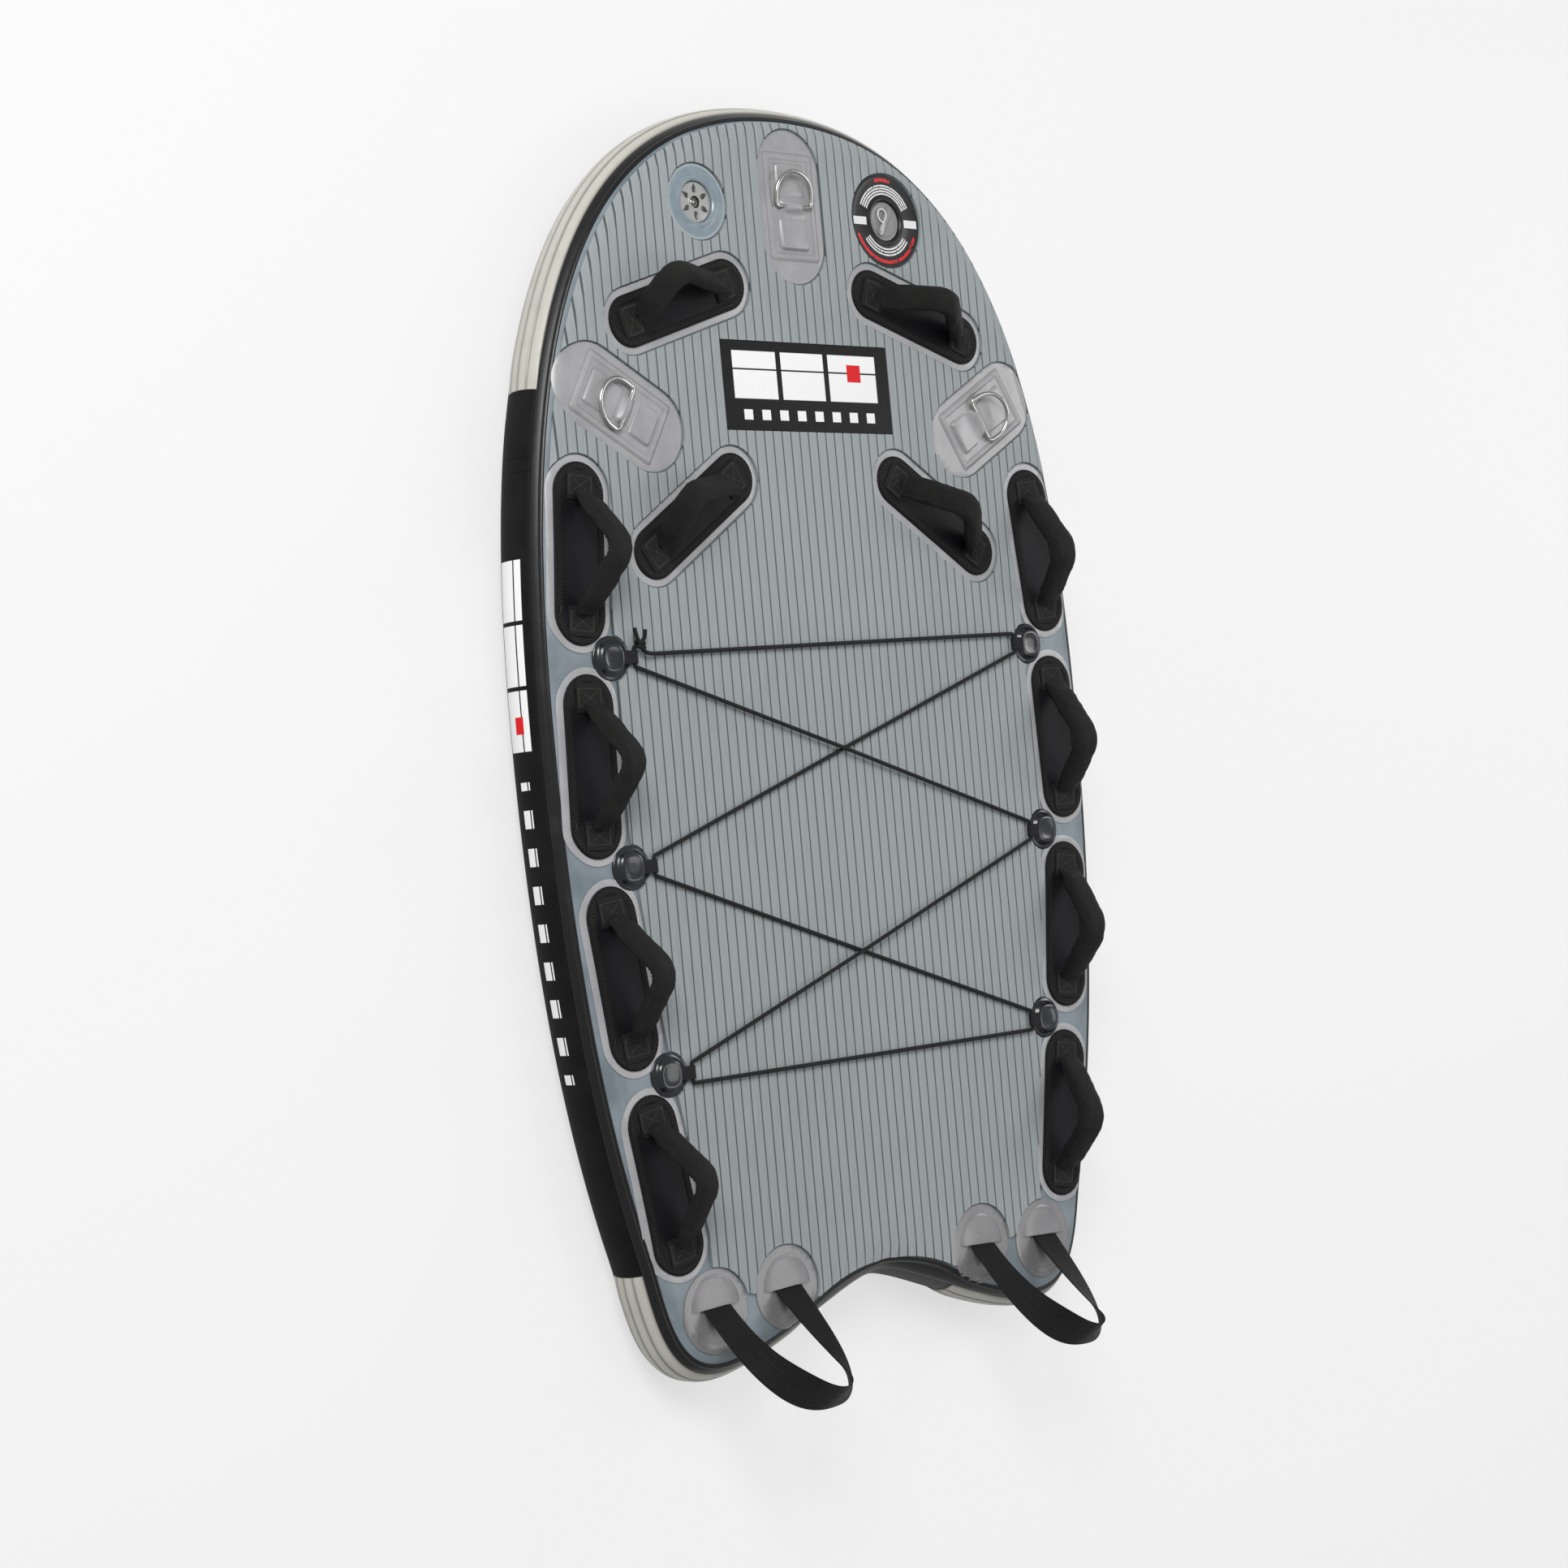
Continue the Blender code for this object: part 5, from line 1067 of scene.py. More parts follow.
# Deck pad
def padOutline():
    margin = handleLook["sideRadius"] + handleLook["border"] + padLook["cut"]
    top = sideHandles[0][0][1] + 14
    line = [spot - out * padLook["edge"] for spot, out in rightStations]
    front = [p for p in line if p.y > top]
    for first, second in sideHandles:
        way = (flatVector(*second) - flatVector(*first)).normalized()
        front += [flatVector(*p) + flatVector(way.y, -way.x) * margin for p in (first, second)]
    outer, inner, radius = discLook["outer"], discLook["inner"], discLook["radius"]
    front.append(flatVector(outer[0], outer[1] + radius * 0.5))
    front.append(flatVector((outer[0] + inner[0]) / 2 - 4, outer[1] + 13))
    front.append(flatVector(inner[0], inner[1] - 20))
    last = stations(strakeEnd, halfMarks[-1], 24)
    notch = [spot - out * (padLook["edge"] + 8 * notchExtra(spot)) for spot, out in last]
    front += [p for p in notch if p.x < inner[0] - radius]
    return [(p.x, p.y) for p in front] + [(-p.x, p.y) for p in front[-2:0:-1]]


def helperObject(name, bm):
    bmesh.ops.recalc_face_normals(bm, faces=bm.faces)
    mesh = bpy.data.meshes.new(name)
    bm.to_mesh(mesh)
    bm.free()
    obj = bpy.data.objects.new(name, mesh)
    bpy.context.scene.collection.objects.link(obj)
    return obj


def blockSet(name, outlines, low=-20, high=30):
    bm = bmesh.new()
    for line in outlines:
        slab(bm, line, low, high, edge=0)
    return helperObject(name, bm)


def groovedSlab():
    # A plate whose upper face has rounded grooves along Y, at an even pitch across X.
    profile = []
    count = int(560 / groove["pitch"]) + 1
    half, deepest = groove["wide"] / 2, padLook["thick"] - groove["deep"]
    for k in range(-count, count + 1):
        middle = (k + groove["phase"]) * groove["pitch"]
        land = groove["pitch"] - 2 * half
        for share in (0.05, 0.5, 0.95):
            profile.append((middle - groove["pitch"] + half + land * share, padLook["thick"]))
        profile.append((middle - half - 0.25, padLook["thick"] - 0.08))
        profile.append((middle - half * 0.75, deepest + 0.35))
        profile.append((middle, deepest))
        profile.append((middle + half * 0.75, deepest + 0.35))
        profile.append((middle + half + 0.25, padLook["thick"] - 0.08))
    section = profile + [(x, 0.0) for x, z in profile[::-6]]
    bm = bmesh.new()
    sweep(bm, [[(x, y, z) for x, z in section] for y in (-760, 1120)])
    return helperObject("pad_block", bm)


pads = []
for side in (1, -1):
    for handles, radius in ((sideHandles, handleLook["sideRadius"]), (frontHandles, handleLook["frontRadius"])):
        for first, second in handles:
            ends = [(p[0] * side, p[1]) for p in (first, second)]
            pads.append(stadium(*ends, radius + handleLook["border"] + padLook["cut"], 14))
    for spot in (discLook["outer"], discLook["inner"]):
        pads.append(circle((spot[0] * side, spot[1]), discLook["radius"] + padLook["cut"]))
for word, centre, heading, span, shift in towCentres():
    way = towWay(heading)
    pads.append(stadium(*towEnds(centre, way, span), towLook["radius"] + padLook["cut"]))
pads.append(circle(valve["relief"], valve["reliefFlange"] + padLook["cut"]))
pads.append(circle(valve["inflate"], valve["inflateFlange"] + padLook["cut"]))
badgeMiddle = (0, sum(padLook["badgeY"]) / 2)
badgeLong = padLook["badgeY"][1] - padLook["badgeY"][0]
pads.append(roundBox(badgeMiddle, 2 * padLook["badgeHalf"] + 1.2, badgeLong + 1.2, 0, 3))
anchorCuts = []
for side in (1, -1):
    anchorCuts += [circle((x * side, y), anchorLook["radius"] + padLook["cut"]) for x, y in anchorSpots]


def cutBy(obj, tool, operation):
    modifier = obj.modifiers.new(operation.lower(), "BOOLEAN")
    modifier.operation = operation
    modifier.solver = "EXACT"
    modifier.object = tool


def takeSettled(obj, helpers):
    # The object's mesh with its modifiers worked in; the objects that made it go.
    bpy.context.view_layer.update()
    mesh = bpy.data.meshes.new_from_object(obj.evaluated_get(bpy.context.evaluated_depsgraph_get()))
    for one in [obj, *helpers]:
        bpy.data.objects.remove(one, do_unlink=True)
    bm = bmesh.new()
    bm.from_mesh(mesh)
    bpy.data.meshes.remove(mesh)
    return bm


def deckPad():
    block = groovedSlab()
    shape = blockSet("pad_shape", [padOutline()])
    tools = [blockSet("pad_cut_" + str(k), [line]) for k, line in enumerate(pads + anchorCuts)]
    cutBy(block, shape, "INTERSECT")
    for tool in tools:
        cutBy(block, tool, "DIFFERENCE")
    bm = takeSettled(block, [shape, *tools])
    gridCut(bm, 24.0, axes=(1,))
    drape(bm, cuts=0)
    settle(bm, "deck_pad_sheet", finish["pad"], "root", ("deck_pad",), sharp=32)


deckPad()

badgeLine = roundBox(badgeMiddle, 2 * padLook["badgeHalf"], badgeLong, 0, 2.5)
badgeBm = slab(bmesh.new(), badgeLine, 0, padLook["thick"] - 0.4, 0.8, 3)
drape(badgeBm, cuts=0)
settle(badgeBm, "badge_sheet", finish["badge"], "root", ("badge_panel",))
print("pad ready")


# Handles
def gripLine(shift, steps=20):
    # Distance along the pad, height over the swing line, and the way the sleeve runs there.
    reach, high, bend = handleLook["gripReach"], handleLook["gripHigh"], handleLook["bend"]
    start, end = Vector((-reach, 0)), Vector((reach, 0))
    half = math.hypot(reach, high)
    rise = high * math.sqrt(1 - (shift / half) ** 2)
    peak = Vector((shift, rise + bend * high / half / 2))
    into, out = (peak - start).normalized(), (end - peak).normalized()
    bendIn, bendOut = peak - into * bend, peak + out * bend
    line = [start.lerp(bendIn, k / steps) for k in range(steps)]
    for k in range(15):
        t = k / 14
        line.append(bendIn * (1 - t) ** 2 + peak * (2 * (1 - t) * t) + bendOut * t * t)
    line += [bendOut.lerp(end, k / steps) for k in range(1, steps + 1)]
    return line


def gripPiece(label, ends, lean, shift, seed):
    line = gripLine(shift)
    sides = gripLook["sides"]
    sections = []
    marks = [0.0]
    for a, b in zip(line, line[1:]):
        marks.append(marks[-1] + (b - a).length)
    first, second = flatVector(*ends[0]), flatVector(*ends[1])
    heading = math.atan2(second.y - first.y, second.x - first.x)
    middle = (first + second) / 2
    padTop = gap + handleLook["patch"] + handleLook["pad"]
    height = hull["deep"] + padTop + handleLook["axisHigh"]
    place = placedAt(middle, heading, height) @ Matrix.Rotation(lean, 4, "X")
    for i, point in enumerate(line):
        way = (line[min(i + 1, len(line) - 1)] - line[max(i - 1, 0)]).normalized()
        fromEnd = min(marks[i], marks[-1] - marks[i])
        ease = smoothly(min(1.0, fromEnd / gripLook["easeOver"]))
        halfWide = gripLook["endHalfWide"] + gripLook["widens"] * ease
        endThick = gripLook["endHalfThick"]
        halfThick = endThick + (handleLook["gripThick"] / 2 - endThick) * ease
        bendNear = math.exp(-(((i - (len(line) - 1) / 2) / gripLook["bendOver"]) ** 2))
        up = Vector((-way.y, way.x))
        section = []
        for k in range(sides):
            angle = 2 * math.pi * k / sides
            c, s = math.cos(angle), math.sin(angle)
            square = gripLook["square"]
            swell = 1 / (abs(c) ** square + abs(s) ** square) ** (1 / square)
            inside = max(0.0, -s) * bendNear
            rough = noise.noise(Vector((marks[i] * 0.045, k * 0.35, seed * 3.7)))
            rough += 0.7 * noise.noise(Vector((marks[i] * 0.13, k * 0.6, seed * 5.1)))
            fold = 1.6 * rough + 2.6 * inside * math.sin(marks[i] * 0.85 + seed) - 2.8 * inside
            pucker = 0.7 * (1 - ease) * math.sin(k * 1.9 + seed * 2)
            r = swell * (1 + (fold + pucker) / 22)
            spot = point + up * (halfThick * s * r)
            section.append(place @ Vector((spot.x, halfWide * c * r, spot.y)))
        sections.append(section)
    bm = bmesh.new()
    sweep(bm, sections)
    low = place @ Vector((0, 0, gripLook["stiffBelow"]))
    high = place @ Vector((0, 0, gripLook["freeAbove"]))
    settle(bm, "grip_sleeve_" + label, finish["sleeve"], "grip_" + label,
           ("handle_grip_" + label,), sharp=70, blendWith=(toFrame @ low, toFrame @ high))


def handlePiece(label, ends, radius, lean, shift, seed):
    patch, pad = handleLook["patch"], handleLook["pad"]
    bm = slab(bmesh.new(), stadium(*ends, radius + handleLook["border"]), 0, patch, 0.5)
    settle(drape(bm), "handle_patch_" + label, finish["border"], "root", ("handle_base_" + label,))
    bm = slab(bmesh.new(), stadium(*ends, radius), patch, patch + pad, 1.6, 4)
    settle(drape(bm), "handle_cushion_" + label, finish["neoprene"], "root")
    bm = bmesh.new()
    top = patch + pad
    across = [(1.3, 0.0), (1.9, 0.55), (3.4, 0.8), (8.0, 0.8), (10.6, 0.7), (11.8, 0.35), (12.2, 0.0)]
    rows = []
    for inward, rise in across:
        rows.append([onDeck(x, y, gap + top + rise) for x, y in stadium(*ends, radius - inward, 24)])
    fixed = [[row[k] for row in rows] for k in range(len(rows[0]))]
    dense = []
    for a, b in zip(fixed, fixed[1:] + fixed[:1]):
        far = (b[0] - a[0]).length
        for k in range(max(1, int(far / 9))):
            t = k / max(1, int(far / 9))
            dense.append([p.lerp(q, t) for p, q in zip(a, b)])
    sweep(bm, dense, closedSection=False, closedPath=True)
    settle(bm, "handle_binding_" + label, finish["binding"], "root")
    first, second = flatVector(*ends[0]), flatVector(*ends[1])
    way = (second - first).normalized()
    heading = math.atan2(way.y, way.x)
    reach = handleLook["gripReach"] + handleLook["tabLong"] / 2 - 6
    bm = bmesh.new()
    for sign in (-1, 1):
        middle = (first + second) / 2 + way * (sign * reach)
        line = roundBox((middle.x, middle.y), handleLook["tabLong"] + 8, handleLook["tabWide"], heading, 2.5)
        slab(bm, line, top, top + 2.2, 0.9, 3)
    layer = bm.loops.layers.uv.new("flow")
    for face in bm.faces:
        for loop in face.loops:
            fromMiddle = flatVector(loop.vert.co.x, loop.vert.co.y) - (first + second) / 2
            along, sideways = fromMiddle.dot(way), fromMiddle.dot(flatVector(-way.y, way.x))
            loop[layer].uv = ((abs(along) - reach) * mm, sideways * mm)
    settle(drape(bm), "handle_tabs_" + label, finish["tab"], "root")
    gripPiece(label, ends, lean, shift, seed)


leans = {"side": (12, 8, -3), "upper": ((9, 8), (42, -34)), "lower": ((1, 6), (42, -29))}
seed = 0
for number, spots in enumerate(sideHandles, 1):
    for side, word in ((1, "right"), (-1, "left")):
        seed += 1
        ends = [(p[0] * side, p[1]) for p in spots]
        lean, rightShift, leftShift = leans["side"]
        shift = rightShift if side == 1 else leftShift
        handlePiece(f"side_{word}_{number}", ends, handleLook["sideRadius"], side * deg(lean), shift, seed)
for spots, level in zip(frontHandles, ("upper", "lower")):
    for side, word in ((1, "right"), (-1, "left")):
        seed += 1
        ends = [(p[0] * side, p[1]) for p in spots]
        lean, shift = leans[level][0 if side == 1 else 1]
        handlePiece(f"{level}_{word}", ends, handleLook["frontRadius"], side * deg(lean), shift, seed)
print("handles ready")


# Tow points
def ringShape():
    half, corner, leg = (towLook["ringWide"] - towLook["wire"]) / 2, towLook["corner"], towLook["leg"]
    line = []
    for k in range(7):
        angle = -math.pi / 2 + k * math.pi / 12
        line.append(Vector((half - corner + corner * math.cos(angle), corner + corner * math.sin(angle), 0)))
    for k in range(33):
        angle = k * math.pi / 32
        line.append(Vector((half * math.cos(angle), leg + half * math.sin(angle), 0)))
    for k in range(7):
        angle = math.pi + k * math.pi / 12
        line.append(Vector((-half + corner + corner * math.cos(angle), corner + corner * math.sin(angle), 0)))
    bar = [Vector((x, 0, 0)) for x in (-18, -9, 0, 9, 18)]
    return line + bar


def bell(y):  # 1 over the ring's bar, 0 at the tongue's feet
    return math.exp(-(abs(y) / towLook["bell"]) ** 2.6)


def saddleShape(bm, place):
    # A tongue of sheet that climbs over the ring's bar, wide at its feet.
    top = towLook["axisHigh"] + towLook["wire"] / 2 + 1.9
    sections = []
    for i in range(25):
        y = -towLook["tongueReach"] + 2 * towLook["tongueReach"] * i / 24
        rise = 0.9 + (top - 0.9) * bell(y)
        half = 23.0 + 2.5 * (1 - bell(y))
        feet = min(1.0, (min(i, 24 - i) + 0.2) / 2.5) ** 0.5
        outer = []
        for k in range(17):
            u = -1 + k / 8
            soft = (1 - abs(u) ** 7)
            high = 0.1 + (rise * (0.72 + 0.28 * (1 - u * u)) - 0.1) * soft * feet
            outer.append(place @ Vector((half * u, y, high)))
        inner = [place @ Vector((half * u, y, 0.0)) for u in (0.9, 0, -0.9)]
        sections.append(outer + inner)
    return sweep(bm, sections)


def softFlank(low, high, slope):  # how far in, how high and how much painted shade, step by step
    rows = []
    for k in range(8):
        s = k / 7
        rows.append((slope * s, low + (high - low) * (0.5 - 0.5 * math.cos(math.pi * s)), max(0.0, 1 - 2.6 * s)))
    return rows


def mound(bm, centre, wide, long, heading, flank, tilt=0.0):
    # A raised field of sheet with soft flanks. tilt lifts its far end and lowers its near one.
    way, rows = towWay(heading), []
    for cut, high, _ in flank:
        line = roundBox(centre, wide - 2 * cut, long - 2 * cut, heading, max(1.5, 6 - cut * 0.7))
        ahead = [(flatVector(*spot) - flatVector(*centre[:2])).dot(way) * 2 / long for spot in line]
        rows.append([Vector((*spot, high * (1 + tilt * share))) for spot, share in zip(line, ahead)])
    sweep(bm, rows)
    # each corner takes the painted shade of its flank step, darkest at the foot
    corner, hollow = bm.verts.layers.int["corner"], bm.verts.layers.float.get("hollow")
    hollow = hollow or bm.verts.layers.float.new("hollow")
    for vert in bm.verts[-len(rows) * len(rows[0]):]:
        nearest = min(range(len(rows)), key=lambda k: (rows[k][vert[corner]] - vert.co).length)
        vert[hollow] = flank[nearest][2]
    return bm


for word, centre, heading, span, barShift in towCentres():
    way = towWay(heading)
    patch, overlay = handleLook["patch"], towLook["overlay"]
    bm = slab(bmesh.new(), stadium(*towEnds(centre, way, span), towLook["radius"], 28), 0, patch, 0.5)
    settle(drape(bm), "tow_base_" + word, finish["patch"], "root", ("tow_patch_" + word,))
    flank = [(cut, patch + high, paintedShade) for cut, high, paintedShade in towLook["flank"]]
    wide, long = [towLook[k] + 2 * towLook["spread"] for k in ("overlayWide", "overlayLong")]
    bm = mound(bmesh.new(), centre, wide, long, heading, flank)
    settle(drape(bm), "tow_overlay_" + word, finish["patch"], "root")
    low = hull["deep"] + gap + patch
    bm = bmesh.new()
    bar = (centre[0] + way.x * barShift, centre[1] + way.y * barShift)
    for side, (wide, start, margin, high, tilt) in towLook["folds"].items():  # under the sheet
        end = towLook["overlayLong"] / 2 - side * barShift - margin
        spot = flatVector(*bar) + way * (side * (start + end) / 2)
        flank = softFlank(patch + overlay - 0.3, patch + overlay + high, towLook["foldSlope"])
        mound(bm, spot, wide, end - start, heading, flank, side * tilt)
    settle(drape(bm), "tow_fold_" + word, finish["patch"], "root")
    bm = saddleShape(bmesh.new(), placedAt(bar, heading, low + overlay - 0.2))
    settle(bm, "tow_tongue_" + word, finish["patch"], "root")
    bm = bmesh.new()
    for sideways in (-1, 1):  # stitched edge of the tongue, as short raised beads
        for k in range(16):
            y = -27 + 3.6 * k
            spot = placedAt(bar, heading, low + overlay + 0.6) @ Vector((sideways * 19.5, y, 0))
            lift = Matrix.Translation(spot + Vector((0, 0, bell(y) * 5.9)))
            bead = lift @ Matrix.Rotation(heading, 4, "Z") @ Matrix.Diagonal((0.8, 1.5, 0.7, 1))
            bmesh.ops.create_uvsphere(bm, u_segments=6, v_segments=4, radius=0.8, matrix=bead)
    settle(bm, "tow_stitch_" + word, finish["patch"], "root")
    axisHigh = low + overlay + towLook["axisHigh"]
    place = placedAt(bar, heading, axisHigh) @ Matrix.Rotation(deg(towLook["rest"][word]), 4, "X")
    bm = tube(bmesh.new(), ringShape(), towLook["wire"] / 2, 20, closed=True)
    bmesh.ops.transform(bm, matrix=place, verts=bm.verts)
    ring = "tow_ring_" + word
    settle(bm, ring + "_wire", finish["steel"], "ring_" + word, (ring,))
print("tow points ready")

# Cord anchors
domeProfile = [(0, 0), (31.5, 0), (31.5, 1.4), (30.8, 2.4), (29.2, 3.1), (27.2, 3.6), (25.0, 4.6), (23.2, 6.2),
               (21.6, 8.2), (20.2, 9.7), (18.4, 10.6), (16.4, 11.0), (14.4, 10.8), (12.6, 10.3), (6, 10.2),
               (0, 10.2)]
webShape = [(-1, 0), (-0.96, 0.8), (-0.8, 1), (-0.3, 1), (0.3, 1), (0.8, 1), (0.96, 0.8), (1, 0), (0.96, -0.8),
            (0.8, -1), (0.3, -1), (-0.3, -1), (-0.8, -1), (-0.96, -0.8)]


def anchorPiece(label, x, y, side):
    bm = spinRound(bmesh.new(), domeProfile, (0, 0), 56)
    for vert in bm.verts:  # the raised middle is nearly square
        far = math.hypot(vert.co.x, vert.co.y)
        if vert.co.z > 3.4 and far > 1:
            c, s = abs(vert.co.x) / far, abs(vert.co.y) / far
            square = 1 / (c**3.4 + s**3.4) ** (1 / 3.4)
            vert.co.xy *= 1 + (square - 1) * 0.55 * min(1, (vert.co.z - 3.4) / 3)
    bmesh.ops.transform(bm, matrix=Matrix.Translation((x, y, hull["deep"] + gap)), verts=bm.verts)
    settle(bm, "anchor_dome_" + label, finish["anchor"], "root", ("cord_anchor_" + label,), sharp=50)
    bm = bmesh.new()
    axis = hull["deep"] + anchorLook["cordHigh"]
    inner = anchorLook["cord"] / 2 + 0.4
    thick, wide = 1.7, anchorLook["loopWide"]
    path = [(-14, axis - inner - 1.5), (-22, axis - inner - 1.7), (-29, axis - inner - 1.2)]
    loopRadius = inner + thick / 2
    for k in range(11):
        angle = -math.pi / 2 - math.pi * k / 10
        path.append((-anchorLook["reach"] + loopRadius * math.cos(angle), axis + loopRadius * math.sin(angle)))
    path += [(-29, axis + 1.9), (-22, axis + 0.2), (-14, axis - 1.2)]
    sections = []
    for i, (px, pz) in enumerate(path):
        ax, az = path[max(i - 1, 0)]
        bx, bz = path[min(i + 1, len(path) - 1)]
        way = Vector((bx - ax, 0, bz - az)).normalized()
        normal = Vector((way.z, 0, -way.x))
        section = []
        for u, v in webShape:
            spot = Vector((px, u * wide / 2, pz)) + normal * (v * thick / 2)
            section.append(Vector((x + side * spot.x, y + side * spot.y, spot.z)))
        sections.append(section)
    sweep(bm, sections)
    settle(bm, "anchor_eye_" + label, finish["eyeWeb"], "root")


for number, (x, y) in enumerate(anchorSpots, 1):
    for side, word in ((1, "right"), (-1, "left")):
        anchorPiece(f"{word}_{number}", x * side, y, side)

# Elastic cord: once round all six eyes and tied beside the first
cordLook = {"bend": 5.5, "play": 0.35,
            "firstTail": ((-3, 40, 9), (0, 29, 8.5), (5, 18, 8), (10, 10, 8), (16, 6, 6.5), (28, 4, 3), (50, 4, 0)),
            "lastTail": ((1, 13.5, 0.2), (6, 17, 0.8), (13, 20, 1.5), (19, 27, 3), (20, 38, 5))}


def cordEye(number, side):
    x, y = anchorSpots[number - 1]
    return Vector((side * (x - anchorLook["reach"]), y, hull["deep"] + anchorLook["cordHigh"]))


def roundEye(number, side, enter):
    middle, inboard, upright = cordEye(number, side), Vector((-side, 0, 0)), Vector((0, 1, 0))
    half = anchorLook["loopWide"] / 2 + cordLook["play"]
    places = []
    for sign, order in ((enter, (2, 1, 0)), (-enter, (0, 1, 2))):
        corner = middle + upright * (sign * half) + inboard * cordLook["bend"]
        for k in order:
            angle = k * math.pi / 4
            way = upright * (sign * math.sin(angle)) - inboard * math.cos(angle)
            places.append(corner + way * cordLook["bend"])
    return places


def cordRoute():
    low = hull["deep"] + gap + padLook["thick"] + gap + anchorLook["cord"] / 2
    over = low + anchorLook["cord"] + 2 * cordLook["play"]
    half, bend = anchorLook["loopWide"] / 2 + cordLook["play"], cordLook["bend"]
    first = cordEye(1, -1)
    line = [first + Vector(p) for p in cordLook["firstTail"]]
    for number, side, enter in ((1, 1, 1), (2, -1, 1), (3, 1, 1), (3, -1, -1), (2, 1, -1)):
        line += roundEye(number, side, enter)
    line += [first + Vector((bend, -half - bend, 0)), first + Vector((bend * 0.3, -half - bend * 0.7, 0)),
             first + Vector((0, -half, 0)), first + Vector((0, half, 0))]
    line += [first + Vector(p) for p in cordLook["lastTail"]]
    longRuns = [i for i in range(len(line) - 1) if (line[i + 1] - line[i]).length > 300]
    crossings = {}
    for a in longRuns:
        for b in longRuns:
            if b <= a + 1:
                continue
            r, s, between = line[a + 1] - line[a], line[b + 1] - line[b], line[b] - line[a]
            span = r.x * s.y - r.y * s.x
            t, u = (between.x * s.y - between.y * s.x) / span, (between.x * r.y - between.y * r.x) / span
            if 0.05 < t < 0.95 and 0.05 < u < 0.95:
                crossings[a], crossings[b] = (t, low), (u, over)
    route = []
    for i, place in enumerate(line):
        route.append(place)
        if i in crossings:
            share, height = crossings[i]
            way = line[i + 1] - place
            for offset in (-9, 9):
                spot = place + way * (share + offset / way.length)
                route.append(Vector((spot.x, spot.y, height)))
    return route


def densePath(route, step=6.0):
    # Straight between far places, rounded where they lie close together.
    line = []
    for i, (a, b) in enumerate(zip(route, route[1:])):
        far = (b - a).length
        before = route[i - 1] if i else a - (b - a)
        after = route[i + 2] if i + 2 < len(route) else b + (b - a)
        wayA = ((b - before).normalized() if i else (b - a).normalized()) * min(far, (a - before).length)
        wayB = (after - a).normalized() * min(far, (after - b).length)
        count = max(2, min(60, int(far / step)))
        for k in range(count):
            t = k / count
            line.append(a * (2 * t**3 - 3 * t * t + 1) + wayA * (t**3 - 2 * t * t + t) + b * (3 * t * t - 2 * t**3)
                        + wayB * (t**3 - t * t))
    return line + [route[-1]]


cordPath = densePath(cordRoute())
bm = tube(bmesh.new(), cordPath, anchorLook["cord"] / 2, 14)
settle(bm, "bungee_braid", finish["cord"], "root", ("bungee_cord",), sharp=70)
turns = [2 * math.pi * 1.7 * k / 40 for k in range(41)]
knot = [cordEye(1, -1) + Vector((9 + 5.8 * math.cos(a), 11.5 + 0.95 * a, 4.6 + 5.0 * math.sin(a))) for a in turns]
bm = tube(bmesh.new(), knot, anchorLook["cord"] / 2 - 0.2, 12)
settle(bm, "bungee_knot", finish["cord"], "root", sharp=70)
print("cord ready, metres:", round(sum((b - a).length for a, b in zip(cordPath, cordPath[1:])) * mm, 3))


# Tail discs and straps
def discPiece(label, centre, slot, heading):
    bm = slab(bmesh.new(), circle(centre, discLook["radius"], 72), 0, discLook["thick"], 0.6)
    settle(drape(bm), "strap_pad_" + label, finish["disc"], "root", ("strap_disc_" + label,))
    nose = Vector((-math.sin(heading), math.cos(heading), 0))
    along = Vector((math.cos(heading), math.sin(heading), 0))
    edge = flatVector(*slot) + nose * discLook["edgeBack"]
    base = hull["deep"] + gap + discLook["thick"] * 0.6
    sections = []
    for i in range(25):  # from the open edge to the round back
        reach = i / 24
        half = discLook["pocket"] * math.sqrt(max(0.0, 1 - reach**2)) + 0.01
        high = discLook["front"] + (discLook["back"] - discLook["front"]) * reach ** 0.8
        backEase = min(1.0, (1 - reach) * 9) ** 0.5
        row = edge + nose * (discLook["pocket"] * reach)
        section = []
        for k in range(33):
            u = -1 + k / 16
            body = max(0.0, 1 - abs(u) ** 3.0) ** 0.55
            z = base + (high + 0.3) * body * max(0.06, backEase)
            section.append(row + along * (half * u) + Vector((0, 0, z)))
        section += [row + along * (half * u) + Vector((0, 0, base - 0.2)) for u in (0.8, 0, -0.8)]
        sections.append(section)
    bm = sweep(bmesh.new(), sections)
    settle(bm, "strap_pocket_" + label, finish["disc"], "root")
    bm = bmesh.new()
    for radius, spread, thick in ((discLook["radius"] - 7, 72, 0.6), (discLook["radius"] - 15, 58, 0.45)):
        line = []
        for k in range(25):
            angle = heading - math.pi / 2 + deg(spread) * (k / 12 - 1)
            x, y = centre[0] + radius * math.cos(angle), centre[1] + radius * math.sin(angle)
            line.append(onDeck(x, y, gap + discLook["thick"]))
        tube(bm, line, thick, 6)
    settle(bm, "strap_weld_" + label, finish["disc"], "root")


strapLook = {"wide": 50, "thick": 2.0, "reach": 186, "bowLeft": -8, "bowRight": 54, "evenTurn": 0.35, "rest": 41}


